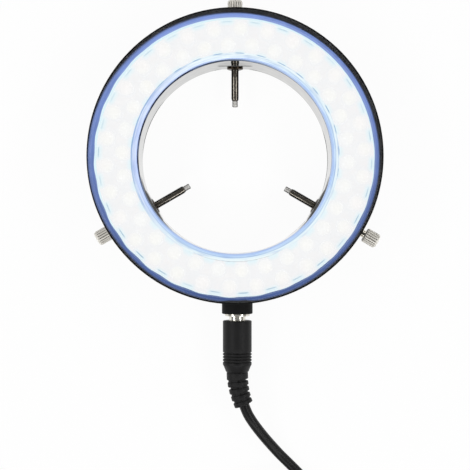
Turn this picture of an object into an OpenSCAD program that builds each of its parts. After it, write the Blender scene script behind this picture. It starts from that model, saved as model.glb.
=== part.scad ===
// Microscope ring light: a ring of lamps that clamps round an objective, with its supply lead.
// It lies on its back with the light face up. The origin is on the bore axis at the back face.
// +Z is the way the light shines, and -Y is the side of the supply socket. Lengths are in mm.

/* [Ring housing] */
// Diameter of the bore that the objective passes through
bore_d = 63; // [56:0.5:72]
// Width of the ring, from its bore to its outside
ring_w = 16; // [14.4:0.1:20]
// Height of the ring, from its back face to its rim
ring_h = 25; // [22.5:0.5:30]
// Thickness of the housing's floor
floor_t = 2; // [1.6:0.1:2.6]
// Thickness of the housing's outer wall under the window
outer_wall = 1.5; // [1.3:0.1:2]
// Thickness of the housing's inner wall
inner_wall = 1.5; // [1.2:0.1:1.7]
// Thickness of the outer wall beside the window
shade_w = 0.9; // [0.7:0.1:1.1]
// Thickness of the outer wall at its rim
rim_w = 0.5; // [0.4:0.1:0.7]
// Radius of the ring's edge at the back
edge_r = 0.8; // [0.4:0.1:1.2]
// Thickness of the lip that stops the sleeve
lip_t = 0.8; // [0.6:0.1:1.2]

/* [Front window] */
// Thickness of the window
window_t = 1.6; // [1.2:0.1:2]
// Depth of the window's face below the rim
window_drop = 5.4; // [4.6:0.1:5.6]
// Width of the bevel round the window's inner edge
window_bevel = 0.6; // [0.3:0.1:1]

/* [Sleeve and clamp screws] */
// Thickness of the metal sleeve in the bore
sleeve_t = 0.9; // [0.7:0.1:1.2]
// Width of the flat pads on the sleeve
pad_w = 12; // [9:0.5:14]
// Height of the flat pads on the sleeve
pad_h = 8; // [7:0.5:9]
// Depth by which the pads stand in from the bore
pad_depth = 0.6; // [0.5:0.1:0.8]
// Height of the screw axes above the back face
screw_z = 5.5; // [5:0.1:6]
// Length of a clamp screw, from its tip to its knob's end
screw_len = 36; // [33:0.5:40]
// Diameter of a clamp screw's shaft
shaft_d = 2.5; // [2.3:0.1:3]
// Diameter of the tip that presses on the objective
tip_d = 1.8; // [1.6:0.1:2]
// Length of the tip that shows
tip_len = 1.95; // [1.5:0.05:2.5]
// Diameter of the knurled knobs
knob_d = 5; // [4.4:0.1:6]
// Length of the knurled knobs
knob_len = 5; // [4:0.1:6]
// Gap from the wall to the knob at the top
knob_out_top = 1.2; // [0.6:0.1:6]
// Gap from the wall to the knob at the left
knob_out_left = 1.1; // [0.6:0.1:6]
// Gap from the wall to the knob at the right
knob_out_right = 2.9; // [0.6:0.1:6]
// Diameter of the threaded bushes
bush_d = 4; // [3.6:0.1:5]
// Diameter of the flanges on the bushes
bush_flange_d = 5.4; // [5:0.1:6.4]
// Thickness of the flanges on the bushes
bush_flange_t = 0.7; // [0.5:0.1:1]

/* [Lamps and circuit board] */
// Lamps in each of the two rows
lamps_per_row = 30; // [20:1:32]
// Diameter of a lamp, as a share of the board's width
lamp_share = 0.43; // [0.36:0.01:0.45]
// Gap from the lamps to the window
lamp_air = 0.4; // [0.2:0.1:0.6]
// Thickness of the circuit board
board_t = 1.2; // [0.8:0.1:1.4]
// Diameter of the pillars under the board
pillar_d = 5; // [4:0.1:5.4]

/* [Supply socket] */
// Outside diameter of the socket's boss
boss_d = 10.3; // [10:0.1:11]
// Length by which the boss stands out of the ring
boss_len = 4.2; // [3.5:0.1:6]
// Height of the socket's axis above the back face
socket_z = 7; // [6.2:0.1:7.4]
// Sideways place of the socket's axis
socket_x = 0.75; // [0:0.05:1]
// Outside diameter of the socket's metal shell
shell_d = 8.3; // [8:0.1:8.6]
// Length by which the shell stands out of the boss
shell_lip = 0.7; // [0.4:0.1:1.2]
// Diameter of the socket's centre pin
pin_d = 2; // [1.6:0.1:2.1]

/* [Plug and lead] */
// Diameter of the plug's metal barrel
barrel_d = 5.5; // [5.2:0.1:5.6]
// Length of the plug's metal barrel
barrel_len = 9.5; // [9:0.1:10.5]
// Gap left between the plug's face and the shell
plug_gap = 1.6; // [0.4:0.1:3]
// Diameter of the plug's moulded body
plug_d = 9.6; // [9:0.1:11]
// Length of the plug's moulded body
plug_len = 17.3; // [15:0.1:20]
// Diameter of the cord
cord_d = 3.5; // [3:0.1:3.8]
// Turns of the coil in each of its two layers
coil_turns = 4.1875; // [3.1875:1:4.1875]
// Radius of the coil's innermost turn
coil_r_in = 13; // [12:0.5:14]

/* [Hidden] */
$fn = 64;

// Clearances: between pieces that seat in each other, and between pieces that run in each other
seat_gap = 0.1;
run_gap = 0.05;
// Overlap that makes joined solids one
fuse = 0.4;

// Radii of the ring's layers, from the bore outwards
bore_r = bore_d / 2;
sleeve_r = bore_r + sleeve_t;
inner_wall_r = sleeve_r + seat_gap;
trough_in_r = inner_wall_r + inner_wall;
ring_r = bore_r + ring_w;
trough_out_r = ring_r - outer_wall;
rebate_r = ring_r - shade_w;

// Heights of the window and of the lip under its inner edge
window_z = ring_h - window_drop;
window_seat_z = window_z - window_t;
window_ledge = 0.4;
rim_edge = 0.3;
lip_z = window_seat_z - lip_t;

// Circuit board: it lies over the socket, and its lamps fill the height left under the window
board_gap = 0.2;
board_clear = 0.45;
board_in_r = trough_in_r + board_gap;
board_out_r = trough_out_r - board_gap;
board_w = board_out_r - board_in_r;
board_mid_r = (board_in_r + board_out_r) / 2;
board_z = socket_z + shell_d / 2 + board_clear;
board_top_z = board_z + board_t;
lamp_r = board_w * lamp_share / 2;
lamp_h = window_seat_z - lamp_air - board_top_z;
lamp_brim = 0.3;
lamp_flange_r = lamp_r + lamp_brim;
lamp_flange_t = 1;
lamp_dome_h = min(lamp_r, lamp_h - lamp_flange_t);
lamp_dome_r = (lamp_r * lamp_r + lamp_dome_h * lamp_dome_h) / (2 * lamp_dome_h);
lamp_margin_out = 0.7;
lamp_margin_in = 0.05;
lamp_out_r = board_out_r - lamp_flange_r - lamp_margin_out;
lamp_in_r = board_in_r + lamp_flange_r + lamp_margin_in;
lamp_step = 360 / lamps_per_row;
lamp_phase = 3.5;
resistor_size = [1.6, 3.2, 0.6];
resistor_count = 20;
resistor_inset = 1.8;
pillar_count = 4;
pillar_phase = 45;
stub_r = 1;
stub_len = board_t * 2 / 3;
back_screw_r = 1.2;
back_screw_len = 7;
back_head_r = 2.2;
back_head_t = 1.1;

// Clamp screws: angle of each, and the gap from the wall to its knob
top_at = 90;
left_at = 210;
right_at = 330;
SCREWS = [[top_at, knob_out_top], [left_at, knob_out_left], [right_at, knob_out_right]];
shaft_r = shaft_d / 2;
shaft_chamfer = 0.4;
knob_end_t = 1;
pad_face_r = bore_r - pad_depth;
bush_out = 0.9;
wall_hole_gap = 0.35;
tip_stem_r = 0.6;
tip_stem_len = 2.9;
tip_chamfer = 0.25;
knurls = 18;
knurl_depth = 0.25;
knob_crown = 0.8;

// Supply socket: places along its axis are distances from the bore axis towards -Y
boss_end = ring_r + boss_len;
shell_end = boss_end + shell_lip;
boss_root = trough_out_r + outer_wall / 2;
boss_edge = 0.3;
cavity_r = barrel_d / 2 + seat_gap;
cavity_end = shell_end - barrel_len - 0.2;
insulator_t = 1.7;
shell_back = cavity_end - insulator_t;
pin_out = 8.2;
pin_tail = 1.2;
wire_r = 0.5;

// Plug on the lead
plug_face = shell_end + plug_gap;
barrel_tip = plug_face - barrel_len;
barrel_sunk = 4;
barrel_wall = 0.5;
plug_r = plug_d / 2;
plug_end = plug_face + plug_len;
plug_taper = 1.9;
relief_r = 3.6;
groove_count = 4;
groove_pitch = 0.97;
groove_w = 0.45;
groove_depth = 0.35;
groove_from_taper = 1.2;

// Strain relief: a collar and ribs along an arc, joined by half-round webs on alternate sides
relief_bend_r = 28;
relief_end_r = 3.2;
relief_core_r = 2.75;
relief_collar = 2.4;
relief_ribs = 4;
rib_len = 1.5;
rib_slot = 0.7;
relief_len = relief_collar + relief_ribs * (rib_slot + rib_len);
relief_bend = bend_over(relief_len);
web_inset = 0.35;
web_lap = 0.6;

// Cord: the free stretch runs on hand-chosen points between the strain relief and the coil
cord_r = cord_d / 2;
relief_tip = [
    socket_x + relief_bend_r * (1 - cos(relief_bend)),
    -plug_end - relief_bend_r * sin(relief_bend),
    socket_z
];
relief_way = [sin(relief_bend), -cos(relief_bend), 0];
CORD_POINTS = [
    [5.8, -87.9, 6.7], [7.6, -90.5, 5.8], [9.7, -93.3, 4.6], [12.3, -96.5, 3.2], [15.1, -99.7, 2.2],
    [18.2, -102.8, 1.9], [21.3, -105.9, 1.9], [24.6, -109.3, 2.2]
];
cord_sides = 8;

// Coil: it winds in on the floor layer, climbs half a turn and winds out on the upper layer
coil_at = [12.5, -139];
coil_from = 45;
coil_gap = 0.45;
coil_pitch = cord_d + coil_gap;
layer_step = cord_d + 0.5;
tie_t = 0.8;
tie_gap = 0.2;
coil_z = tie_t + tie_gap + cord_r;
coil_sides = 6;
rings_per_turn = 24;
climb_turns = 0.5;
coil_r_out = coil_r_in + coil_pitch * coil_turns;

function smooth(u) = (1 - cos(180 * min(1, max(0, u)))) / 2;
function coil_r(t) = coil_r_in + coil_pitch * abs(t - coil_turns);
function coil_height(t) = coil_z + layer_step * smooth((t - coil_turns) / climb_turns + 0.5);
function coil_point(t) = [
    coil_at.x + coil_r(t) * cos(coil_from - 360 * t),
    coil_at.y + coil_r(t) * sin(coil_from - 360 * t),
    coil_height(t)
];
function coil_way(t) = [sin(coil_from - 360 * t), -cos(coil_from - 360 * t), 0];
coil_rings = round(2 * coil_turns * rings_per_turn);
COIL_TURNS_POINTS = [for (i = [0 : coil_rings]) coil_point(i / rings_per_turn)];
coil_start = coil_point(0) - cord_d * coil_way(0);
coil_end = coil_point(2 * coil_turns) + cord_d * coil_way(2 * coil_turns);
COIL_POINTS = concat([coil_start], COIL_TURNS_POINTS, [coil_end]);

// Tail of the cord, from the coil to the plug at its far end
end_plug_z = 4.1;
end_plug_back = [-10, coil_end.y, end_plug_z];
TAIL_POINTS = [
    [2.5, coil_end.y, 6.4], [-0.5, coil_end.y, 5.5], [-3.5, coil_end.y, 4.5], [-6.5, coil_end.y, end_plug_z]
];

// Tie round the coil, at the side away from the climb
tie_at = 157.5;
tie_w = 6;
tie_corner = 1.6;
tie_turn_r = coil_r_in + coil_pitch / 2 - cord_r;
tie_in_r = sqrt(tie_turn_r * tie_turn_r - tie_w * tie_w / 4) - tie_gap;
tie_out_r = coil_r_out - coil_pitch * 0.6875 + cord_r + tie_gap;

// Plug at the far end: places along it run from its back towards -X
end_relief_len = 8;
end_relief_r = 3.2;
end_body = [20, 15.6, 8];
end_body_corner = 2.2;
end_body_edge = 0.8;
end_shell = [11.8, 12, 4.5];
end_shell_wall = 0.35;
end_shell_corner = 0.7;
end_shell_sunk = 3;
end_window = [2, 2.2];
end_tongue = [10.6, 10.4, 1.7];
end_contacts = 4;
end_contact = [8, 1.1, 0.2];
end_contact_pitch = 2.5;

// Smallest gap of the coil to itself, measured between points more than half a turn apart
coil_least_gap = min([
    for (i = [0 : len(COIL_POINTS) - 1])
        for (j = [i + rings_per_turn / 2 : len(COIL_POINTS) - 1])
            norm(COIL_POINTS[j] - COIL_POINTS[i])
]) - cord_d;
function run_length(p) = len(p) < 2 ? 0 : sum_of([for (i = [1 : len(p) - 1]) norm(p[i] - p[i - 1])]);
function sum_of(v, i = 0) = i == len(v) ? 0 : v[i] + sum_of(v, i + 1);
cord_route = concat([relief_tip, relief_tip + cord_d * relief_way], CORD_POINTS,
    [coil_start - cord_d * coil_way(0), coil_start]);
tail_route = concat([coil_end, coil_end - cord_d * [1, 0, 0]], TAIL_POINTS, [end_plug_back]);
lead_length = run_length(cord_route) + run_length(COIL_POINTS) + run_length(tail_route);
echo(coil_least_gap = coil_least_gap, lead_length = lead_length);

// Points of an arc in a profile
function arc(centre, r, from, to, steps = 5) = [
    for (i = [0 : steps])
        let (a = from + (to - from) * i / steps)
            [centre.x + r * cos(a), centre.y + r * sin(a)]
];

function unit(v) = v / norm(v);
function way_at(p, i) =
    unit(p[min(i + 1, len(p) - 1)] - p[max(i - 1, 0)]);

// A tube swept along points that never run straight up
module swept_tube(points, r, sides) {
    last = len(points) - 1;
    corners = [
        for (i = [0 : last])
            let (way = way_at(points, i), side = unit(cross(way, [0, 0, 1])), up = cross(side, way))
                for (k = [0 : sides - 1])
                    points[i] + r * (cos(360 * k / sides) * side + sin(360 * k / sides) * up)
    ];
    walls = [
        for (i = [0 : last - 1])
            for (k = [0 : sides - 1])
                let (a = i * sides + k, b = i * sides + (k + 1) % sides)
                    each [[a, a + sides, b + sides], [a, b + sides, b]]
    ];
    back = [for (k = [1 : sides - 2]) [0, k, k + 1]];
    front = [for (k = [1 : sides - 2]) [last * sides, last * sides + k + 1, last * sides + k]];
    polyhedron(corners, concat(walls, back, front));
}

// A cylinder that lies along the radius at one angle, at the height of the screws
module radial_cylinder(angle, from, to, r) {
    rotate([0, 0, angle])
        translate([from, 0, screw_z])
            rotate([0, 90, 0])
                cylinder(h = to - from, r = r);
}

// A profile turned about the radius at one angle, with its foot at a distance from the bore axis
module radial_turned(angle, from, profile) {
    rotate([0, 0, angle])
        translate([from, 0, screw_z])
            rotate([0, 90, 0])
                rotate_extrude()
                    polygon(profile);
}

// A cylinder along the socket's axis, between two distances from the bore axis
module socket_cylinder(from, to, r) {
    translate([socket_x, -from, socket_z])
        rotate([90, 0, 0])
            cylinder(h = to - from, r = r);
}

// A profile turned about the socket's axis
module socket_turned(from, profile) {
    translate([socket_x, -from, socket_z])
        rotate([90, 0, 0])
            rotate_extrude()
                polygon(profile);
}

// A rectangle with round corners, centred
module round_rect(size, r) {
    square([size.x - 2 * r, size.y], center = true);
    square([size.x, size.y - 2 * r], center = true);
    for (x = [-1, 1], y = [-1, 1])
        translate([x * (size.x / 2 - r), y * (size.y / 2 - r)])
            circle(r);
}

// A prism with round corners along -X, from a distance behind the far plug's back
module end_prism(from, to, size, r) {
    translate([end_plug_back.x - from, end_plug_back.y, end_plug_z])
        rotate([0, -90, 0])
            linear_extrude(to - from)
                rotate([0, 0, 90])
                    round_rect(size, r);
}

// The places of the pillars under the board
module at_pillars() {
    for (i = [0 : pillar_count - 1])
        rotate([0, 0, pillar_phase + i * 360 / pillar_count])
            translate([board_mid_r, 0, 0])
                children();
}

// Where the flange of a screw's tip stands, from the bore axis
function tip_at(knob_out) = ring_r + knob_out + knob_len - screw_len;

// Moulded trough with its rebate for the window and its socket boss
module housing() {
    wall_profile = concat(
        [[inner_wall_r, 0]],
        arc([ring_r - edge_r, edge_r], edge_r, -90, 0),
        arc([ring_r - rim_edge, ring_h - rim_edge], rim_edge, 0, 90),
        [
            [ring_r - rim_w, ring_h], [rebate_r, window_z], [rebate_r, window_seat_z],
            [trough_out_r, window_seat_z], [trough_out_r, floor_t],
            [trough_in_r, floor_t], [trough_in_r, window_seat_z],
            [bore_r, window_seat_z], [bore_r, lip_z], [inner_wall_r, lip_z]
        ]
    );
    boss_profile = concat(
        [[0, 0], [boss_d / 2, 0]],
        arc([boss_d / 2 - boss_edge, boss_end - boss_root - boss_edge], boss_edge, 0, 90),
        [[0, boss_end - boss_root]]
    );
    color("#161616")
        difference() {
            union() {
                rotate_extrude()
                    polygon(wall_profile);
                socket_turned(boss_root, boss_profile);
            }
            socket_cylinder(shell_back, boss_end + fuse, shell_d / 2 + seat_gap);
            for (s = SCREWS) {
                radial_cylinder(s[0], trough_out_r - fuse, ring_r + fuse, shaft_r + wall_hole_gap);
                radial_cylinder(s[0], inner_wall_r - fuse, trough_in_r + fuse, bush_d / 2 + seat_gap);
            }
            at_pillars() {
                translate([0, 0, -fuse])
                    cylinder(h = floor_t + 2 * fuse, r = back_screw_r + seat_gap);
                translate([0, 0, -fuse])
                    cylinder(h = back_head_t + fuse + seat_gap, r = back_head_r + seat_gap);
            }
        }
}

// Clear ring over the lamps, which rests on both walls
module window() {
    edge_in_r = bore_r + window_ledge;
    edge_out_r = rebate_r - seat_gap;
    color("#dfe9ff", 0.5)
        rotate_extrude()
            polygon([
                [edge_in_r, window_seat_z], [edge_out_r, window_seat_z], [edge_out_r, window_z],
                [edge_in_r + window_bevel, window_z], [edge_in_r, window_z - window_bevel]
            ]);
}

// Bright metal sleeve that lines the bore, with a flat pad at each screw that slopes back above and below
module sleeve() {
    pad_low = screw_z - pad_h / 2;
    pad_high = screw_z + pad_h / 2;
    pad_profile = [
        [pad_face_r, pad_low + pad_depth], [bore_r, pad_low], [sleeve_r, pad_low],
        [sleeve_r, pad_high], [bore_r, pad_high], [pad_face_r, pad_high - pad_depth]
    ];
    color("#cfd2d4")
        difference() {
            union() {
                difference() {
                    cylinder(h = lip_z, r = sleeve_r, $fn = 128);
                    translate([0, 0, -fuse])
                        cylinder(h = lip_z + 2 * fuse, r = bore_r, $fn = 128);
                }
                intersection() {
                    for (s = SCREWS)
                        rotate([0, 0, s[0]])
                            translate([0, pad_w / 2, 0])
                                rotate([90, 0, 0])
                                    linear_extrude(pad_w)
                                        polygon(pad_profile);
                    cylinder(h = lip_z, r = bore_r + sleeve_t / 2, $fn = 128);
                }
            }
            for (s = SCREWS)
                radial_cylinder(s[0], pad_face_r - fuse, sleeve_r + fuse, bush_d / 2 + run_gap);
        }
}

// Flanged bush that the screw's thread runs in
module bush(angle) {
    color("#26221f")
        difference() {
            union() {
                radial_cylinder(angle, pad_face_r - bush_flange_t, pad_face_r, bush_flange_d / 2);
                radial_cylinder(angle, pad_face_r - bush_flange_t, trough_in_r + bush_out, bush_d / 2);
            }
            radial_cylinder(angle, pad_face_r - bush_flange_t - fuse, trough_in_r + bush_out + fuse,
                shaft_r + run_gap);
        }
}
module bush_top() bush(top_at);
module bush_left() bush(left_at);
module bush_right() bush(right_at);

// Ring-shaped board that carries the lamps
module circuit_board() {
    color("#e9ebe6")
        difference() {
            translate([0, 0, board_z])
                cylinder(h = board_t, r = board_out_r);
            translate([0, 0, board_z - fuse])
                cylinder(h = board_t + 2 * fuse, r = board_in_r);
            at_pillars()
                translate([0, 0, board_z - fuse])
                    cylinder(h = stub_len + fuse, r = stub_r + run_gap);
        }
}

// Domed end of a lamp, flatter where there is little height for it
module lamp_dome() {
    intersection() {
        translate([0, 0, lamp_dome_h - lamp_dome_r])
            sphere(r = lamp_dome_r);
        cylinder(h = 2 * lamp_dome_h, r = 2 * lamp_dome_r);
    }
}

// One row of round lamps, each with its flange and its domed end
module lamp_row(row_r, phase) {
    dome_z = lamp_h - lamp_dome_h;
    color("#fbf7e8")
        for (i = [0 : lamps_per_row - 1])
            rotate([0, 0, phase + i * lamp_step])
                translate([row_r, 0, board_top_z]) {
                    cylinder(h = lamp_flange_t, r = lamp_flange_r);
                    cylinder(h = dome_z, r = lamp_r);
                    translate([0, 0, dome_z])
                        lamp_dome();
                }
}
module lamps_outer() lamp_row(lamp_out_r, lamp_phase);
module lamps_inner() lamp_row(lamp_in_r, lamp_phase + lamp_step / 2);

// Chip resistors under the board, one for each three lamps
module resistors() {
    color("#2b2b2e")
        for (i = [0 : resistor_count - 1])
            rotate([0, 0, (i + 0.5) * 360 / resistor_count])
                translate([board_in_r + resistor_inset, 0, board_z - resistor_size.z / 2])
                    cube(resistor_size, center = true);
}

// Pillars that carry the board, each with a stub in the board's underside
module board_pillars() {
    color("#c9b37a")
        difference() {
            at_pillars() {
                translate([0, 0, floor_t])
                    cylinder(h = board_z - floor_t, d = pillar_d);
                translate([0, 0, board_z - fuse])
                    cylinder(h = stub_len + fuse, r = stub_r);
            }
            at_pillars()
                translate([0, 0, floor_t - fuse])
                    cylinder(h = back_screw_len - floor_t + 2 * fuse, r = back_screw_r + run_gap);
        }
}

// Screws that hold the pillars to the floor, with cross slots
module back_screws() {
    slot = [2 * back_head_r * 0.7, 0.5, 0.5];
    color("#3a3a3c")
        difference() {
            at_pillars() {
                cylinder(h = back_screw_len, r = back_screw_r);
                cylinder(h = back_head_t, r = back_head_r);
            }
            at_pillars()
                for (a = [0, 90])
                    rotate([0, 0, a])
                        cube([slot.x, slot.y, 2 * slot.z], center = true);
        }
}

// Metal shell of the supply socket
module socket_shell() {
    color("#d8d8d6")
        difference() {
            socket_cylinder(shell_back, shell_end, shell_d / 2);
            socket_cylinder(shell_back - fuse, shell_end + fuse, cavity_r);
        }
}

// Insulating disc at the back of the socket
module socket_insulator() {
    color("#111111")
        difference() {
            socket_cylinder(shell_back, cavity_end, cavity_r - run_gap);
            socket_cylinder(shell_back - fuse, cavity_end + fuse, pin_d / 2 + run_gap);
        }
}

// Centre pin of the socket
module socket_pin() {
    pin_r = pin_d / 2;
    whole = pin_tail + insulator_t + pin_out;
    color("#d8d8d6")
        socket_turned(shell_back - pin_tail, concat(
            [[0, 0], [pin_r, 0]],
            arc([0, whole - pin_r], pin_r, 0, 90)
        ));
}

// Two wires from the socket up to the board
module feed_wires() {
    color("#8c1f1b") {
        translate([socket_x, -(shell_back - pin_tail / 2), socket_z + pin_d / 2])
            cylinder(h = board_z - socket_z - pin_d / 2, r = wire_r);
        translate([socket_x, -(shell_back + pin_tail / 2), socket_z + shell_d / 2])
            cylinder(h = board_z - socket_z - shell_d / 2, r = wire_r);
    }
}

// Pressure tip of a clamp screw, with the stem that the shaft turns on
module tip(screw) {
    tip_r = tip_d / 2;
    color("#b9ac95")
        radial_turned(screw[0], tip_at(screw[1]), [
            [0, 0], [tip_r - tip_chamfer, 0], [tip_r, tip_chamfer], [tip_r, tip_len],
            [tip_stem_r, tip_len], [tip_stem_r, tip_len + tip_stem_len], [0, tip_len + tip_stem_len]
        ]);
}
module tip_top() tip(SCREWS[0]);
module tip_left() tip(SCREWS[1]);
module tip_right() tip(SCREWS[2]);

// Shaft of a clamp screw, with a blind hole for the tip's stem
module shaft(screw) {
    foot = tip_len + run_gap;
    whole = screw_len - knob_end_t;
    hole_r = tip_stem_r + run_gap;
    hole_end = foot + tip_stem_len;
    color("#2a211d")
        radial_turned(screw[0], tip_at(screw[1]), [
            [hole_r, foot], [shaft_r - shaft_chamfer, foot], [shaft_r, foot + shaft_chamfer],
            [shaft_r, whole], [0, whole], [0, hole_end], [hole_r, hole_end]
        ]);
}
module shaft_top() shaft(SCREWS[0]);
module shaft_left() shaft(SCREWS[1]);
module shaft_right() shaft(SCREWS[2]);

// Knurled knob on the end of a clamp screw
module knob(screw) {
    knob_r = knob_d / 2;
    root_r = knob_r - knurl_depth;
    step = 360 / knurls;
    ridges = [
        for (i = [0 : knurls - 1])
            for (p = [[-0.32, root_r], [-0.18, knob_r], [0.18, knob_r], [0.32, root_r]])
                [p[1] * cos((i + p[0]) * step), p[1] * sin((i + p[0]) * step)]
    ];
    crown_r = knob_crown;
    color("#d9d2bd")
        rotate([0, 0, screw[0]])
            translate([ring_r + screw[1], 0, screw_z])
                rotate([0, 90, 0])
                    difference() {
                        union() {
                            linear_extrude(knob_len - knob_crown)
                                polygon(ridges);
                            translate([0, 0, knob_len - knob_crown - fuse])
                                rotate_extrude()
                                    polygon(concat(
                                        [[0, 0], [root_r, 0]],
                                        arc([root_r - crown_r, fuse], crown_r, 0, 90),
                                        [[0, fuse + crown_r]]
                                    ));
                        }
                        translate([0, 0, -fuse])
                            cylinder(h = knob_len - knob_end_t + fuse, r = shaft_r + run_gap);
                    }
}
module knob_top() knob(SCREWS[0]);
module knob_left() knob(SCREWS[1]);
module knob_right() knob(SCREWS[2]);

// Moulded body of the plug, with grip grooves before its taper
module plug_body() {
    taper_at = plug_len - plug_taper;
    groove_at = [
        for (i = [0 : groove_count - 1])
            taper_at - groove_from_taper - (groove_count - 1 - i) * groove_pitch
    ];
    grooves = [
        for (g = groove_at)
            each [
                [plug_r, g - groove_w / 2], [plug_r - groove_depth, g - groove_w / 4],
                [plug_r - groove_depth, g + groove_w / 4], [plug_r, g + groove_w / 2]
            ]
    ];
    hole_r = barrel_d / 2 + run_gap;
    color("#181818")
        socket_turned(plug_face, concat(
            [[hole_r, 0]],
            arc([plug_r - boss_edge, boss_edge], boss_edge, -90, 0),
            grooves,
            [
                [plug_r, taper_at], [relief_r, plug_len], [0, plug_len],
                [0, barrel_sunk], [hole_r, barrel_sunk]
            ]
        ));
}

// Bright barrel of the plug
module plug_barrel() {
    color("#dcdcda")
        difference() {
            socket_cylinder(barrel_tip, plug_face + barrel_sunk, barrel_d / 2);
            socket_cylinder(barrel_tip - fuse, plug_face + barrel_sunk + fuse, barrel_d / 2 - barrel_wall);
        }
}

// Insulating liner in the barrel, with the hole for the pin
module plug_insulator() {
    color("#101010")
        difference() {
            socket_cylinder(barrel_tip, plug_face + barrel_sunk, barrel_d / 2 - barrel_wall - run_gap);
            socket_cylinder(barrel_tip - fuse, plug_face + barrel_sunk + fuse, pin_d / 2 + seat_gap);
        }
}

// Bending ribs that guard the cord where it leaves the plug
module strain_relief() {
    color("#181818")
        translate([socket_x + relief_bend_r, -plug_end, socket_z])
            mirror([1, 0, 0]) {
                relief_arc(0, relief_len, relief_core_r);
                relief_arc(0, relief_collar, relief_r);
                for (i = [1 : relief_ribs]) {
                    relief_arc(rib_at(i), rib_len, rib_r(i));
                    relief_web(rib_at(i) - rib_slot - web_lap, rib_slot + 2 * web_lap, rib_r(i) - web_inset,
                        (i + 1) % 2);
                }
            }
}
function rib_r(i) = relief_r + (relief_end_r - relief_r) * i / relief_ribs;
function rib_at(i) = relief_collar + i * rib_slot + (i - 1) * rib_len;
function bend_over(length) = length / relief_bend_r * 180 / PI;

// Part of a ring along the bend of the strain relief
module relief_arc(from, length, r) {
    rotate([0, 0, -bend_over(from + length)])
        rotate_extrude(angle = bend_over(length))
            translate([relief_bend_r, 0])
                circle(r);
}

// Half-round web that joins two ribs, on the outside or on the inside of the bend
module relief_web(from, length, r, inside) {
    rotate([0, 0, -bend_over(from + length)])
        rotate_extrude(angle = bend_over(length))
            translate([relief_bend_r, 0])
                intersection() {
                    circle(r);
                    translate([inside * -r, -r])
                        square([r, 2 * r]);
                }
}

// Free stretch of the cord, from the strain relief down to the floor and on to the coil
module cord() {
    color("#1b1b1b")
        swept_tube(cord_route, cord_r, cord_sides);
}

// The rest of the cord, wound into a coil of two layers
module cord_coil() {
    color("#1b1b1b")
        swept_tube(COIL_POINTS, cord_r, coil_sides);
}

// Last stretch of the cord, from the coil to the plug at its far end
module cord_tail() {
    color("#1b1b1b")
        swept_tube(tail_route, cord_r, cord_sides);
}

// Band that holds the coil's turns together
module cord_tie() {
    inner = [tie_out_r - tie_in_r, layer_step + cord_d + 2 * tie_gap];
    outer = inner + 2 * [tie_t, tie_t];
    color("#202020")
        translate([coil_at.x, coil_at.y, 0])
            rotate([0, 0, tie_at])
                translate([(tie_in_r + tie_out_r) / 2, tie_w / 2, outer.y / 2])
                    rotate([90, 0, 0])
                        linear_extrude(tie_w)
                            difference() {
                                round_rect(outer, tie_corner);
                                round_rect(inner, tie_corner - tie_t);
                            }
}

// Tapered guard at the back of the far plug
module end_plug_relief() {
    color("#181818")
        translate(end_plug_back)
            rotate([0, -90, 0])
                cylinder(h = end_relief_len, r1 = cord_r + 0.5, r2 = end_relief_r);
}

// Moulded body of the far plug, with a slot for the metal shell
module end_plug_body() {
    from = end_relief_len;
    to = end_relief_len + end_body.x;
    face = [end_body.y, end_body.z];
    color("#181818")
        difference() {
            union() {
                end_prism(from + end_body_edge, to - end_body_edge, face, end_body_corner);
                end_prism(from, to, face - 2 * [end_body_edge, end_body_edge],
                    end_body_corner - end_body_edge);
            }
            end_prism(to - end_shell_sunk, to + fuse,
                [end_shell.y, end_shell.z] + 2 * [run_gap, run_gap], end_shell_corner);
        }
}

// Flat metal shell of the far plug, with its two latch windows on each face
module end_plug_shell() {
    from = end_relief_len + end_body.x - end_shell_sunk;
    to = from + end_shell_sunk + end_shell.x;
    face = [end_shell.y, end_shell.z];
    window_at = to - end_shell.x / 2;
    color("#d2d4d6")
        difference() {
            end_prism(from, to, face, end_shell_corner);
            end_prism(from - fuse, to + fuse, face - 2 * [end_shell_wall, end_shell_wall],
                end_shell_corner - end_shell_wall);
            for (y = [-1, 1])
                translate([end_plug_back.x - window_at, end_plug_back.y + y * face.x / 4, end_plug_z])
                    cube([end_window.x, end_window.y, 2 * face.y], center = true);
        }
}

// Tongue inside the metal shell, on its lower half
module end_plug_tongue() {
    from = end_relief_len + end_body.x - end_shell_sunk;
    tongue_z = end_plug_z - end_shell.z / 2 + end_shell_wall;
    color("#e8e8e4")
        translate([
            end_plug_back.x - from - end_shell_sunk - end_tongue.x,
            end_plug_back.y - end_tongue.y / 2,
            tongue_z
        ])
            cube([end_tongue.x + end_shell_sunk, end_tongue.y, end_tongue.z]);
}

// Contacts on the tongue
module end_plug_contacts() {
    front = end_plug_back.x - end_relief_len - end_body.x - end_tongue.x + end_contact_pitch / 4;
    contact_z = end_plug_z - end_shell.z / 2 + end_shell_wall + end_tongue.z;
    color("#c8a24a")
        for (i = [0 : end_contacts - 1])
            translate([
                front,
                end_plug_back.y + (i - (end_contacts - 1) / 2) * end_contact_pitch - end_contact.y / 2,
                contact_z
            ])
                cube(end_contact);
}

housing();
window();
sleeve();
bush_top();
bush_left();
bush_right();
circuit_board();
lamps_outer();
lamps_inner();
resistors();
board_pillars();
back_screws();
socket_shell();
socket_insulator();
socket_pin();
feed_wires();
tip_top();
tip_left();
tip_right();
shaft_top();
shaft_left();
shaft_right();
knob_top();
knob_left();
knob_right();
plug_body();
plug_barrel();
plug_insulator();
strain_relief();
cord();
cord_coil();
cord_tail();
cord_tie();
end_plug_relief();
end_plug_body();
end_plug_shell();
end_plug_tongue();
end_plug_contacts();
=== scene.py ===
"""Looks of the microscope ring light: finishes, screws, plug, lead and studio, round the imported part."""
from math import cos, pi, radians, sin, sqrt

import bmesh
import bpy
from mathutils import Matrix, Vector


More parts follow.
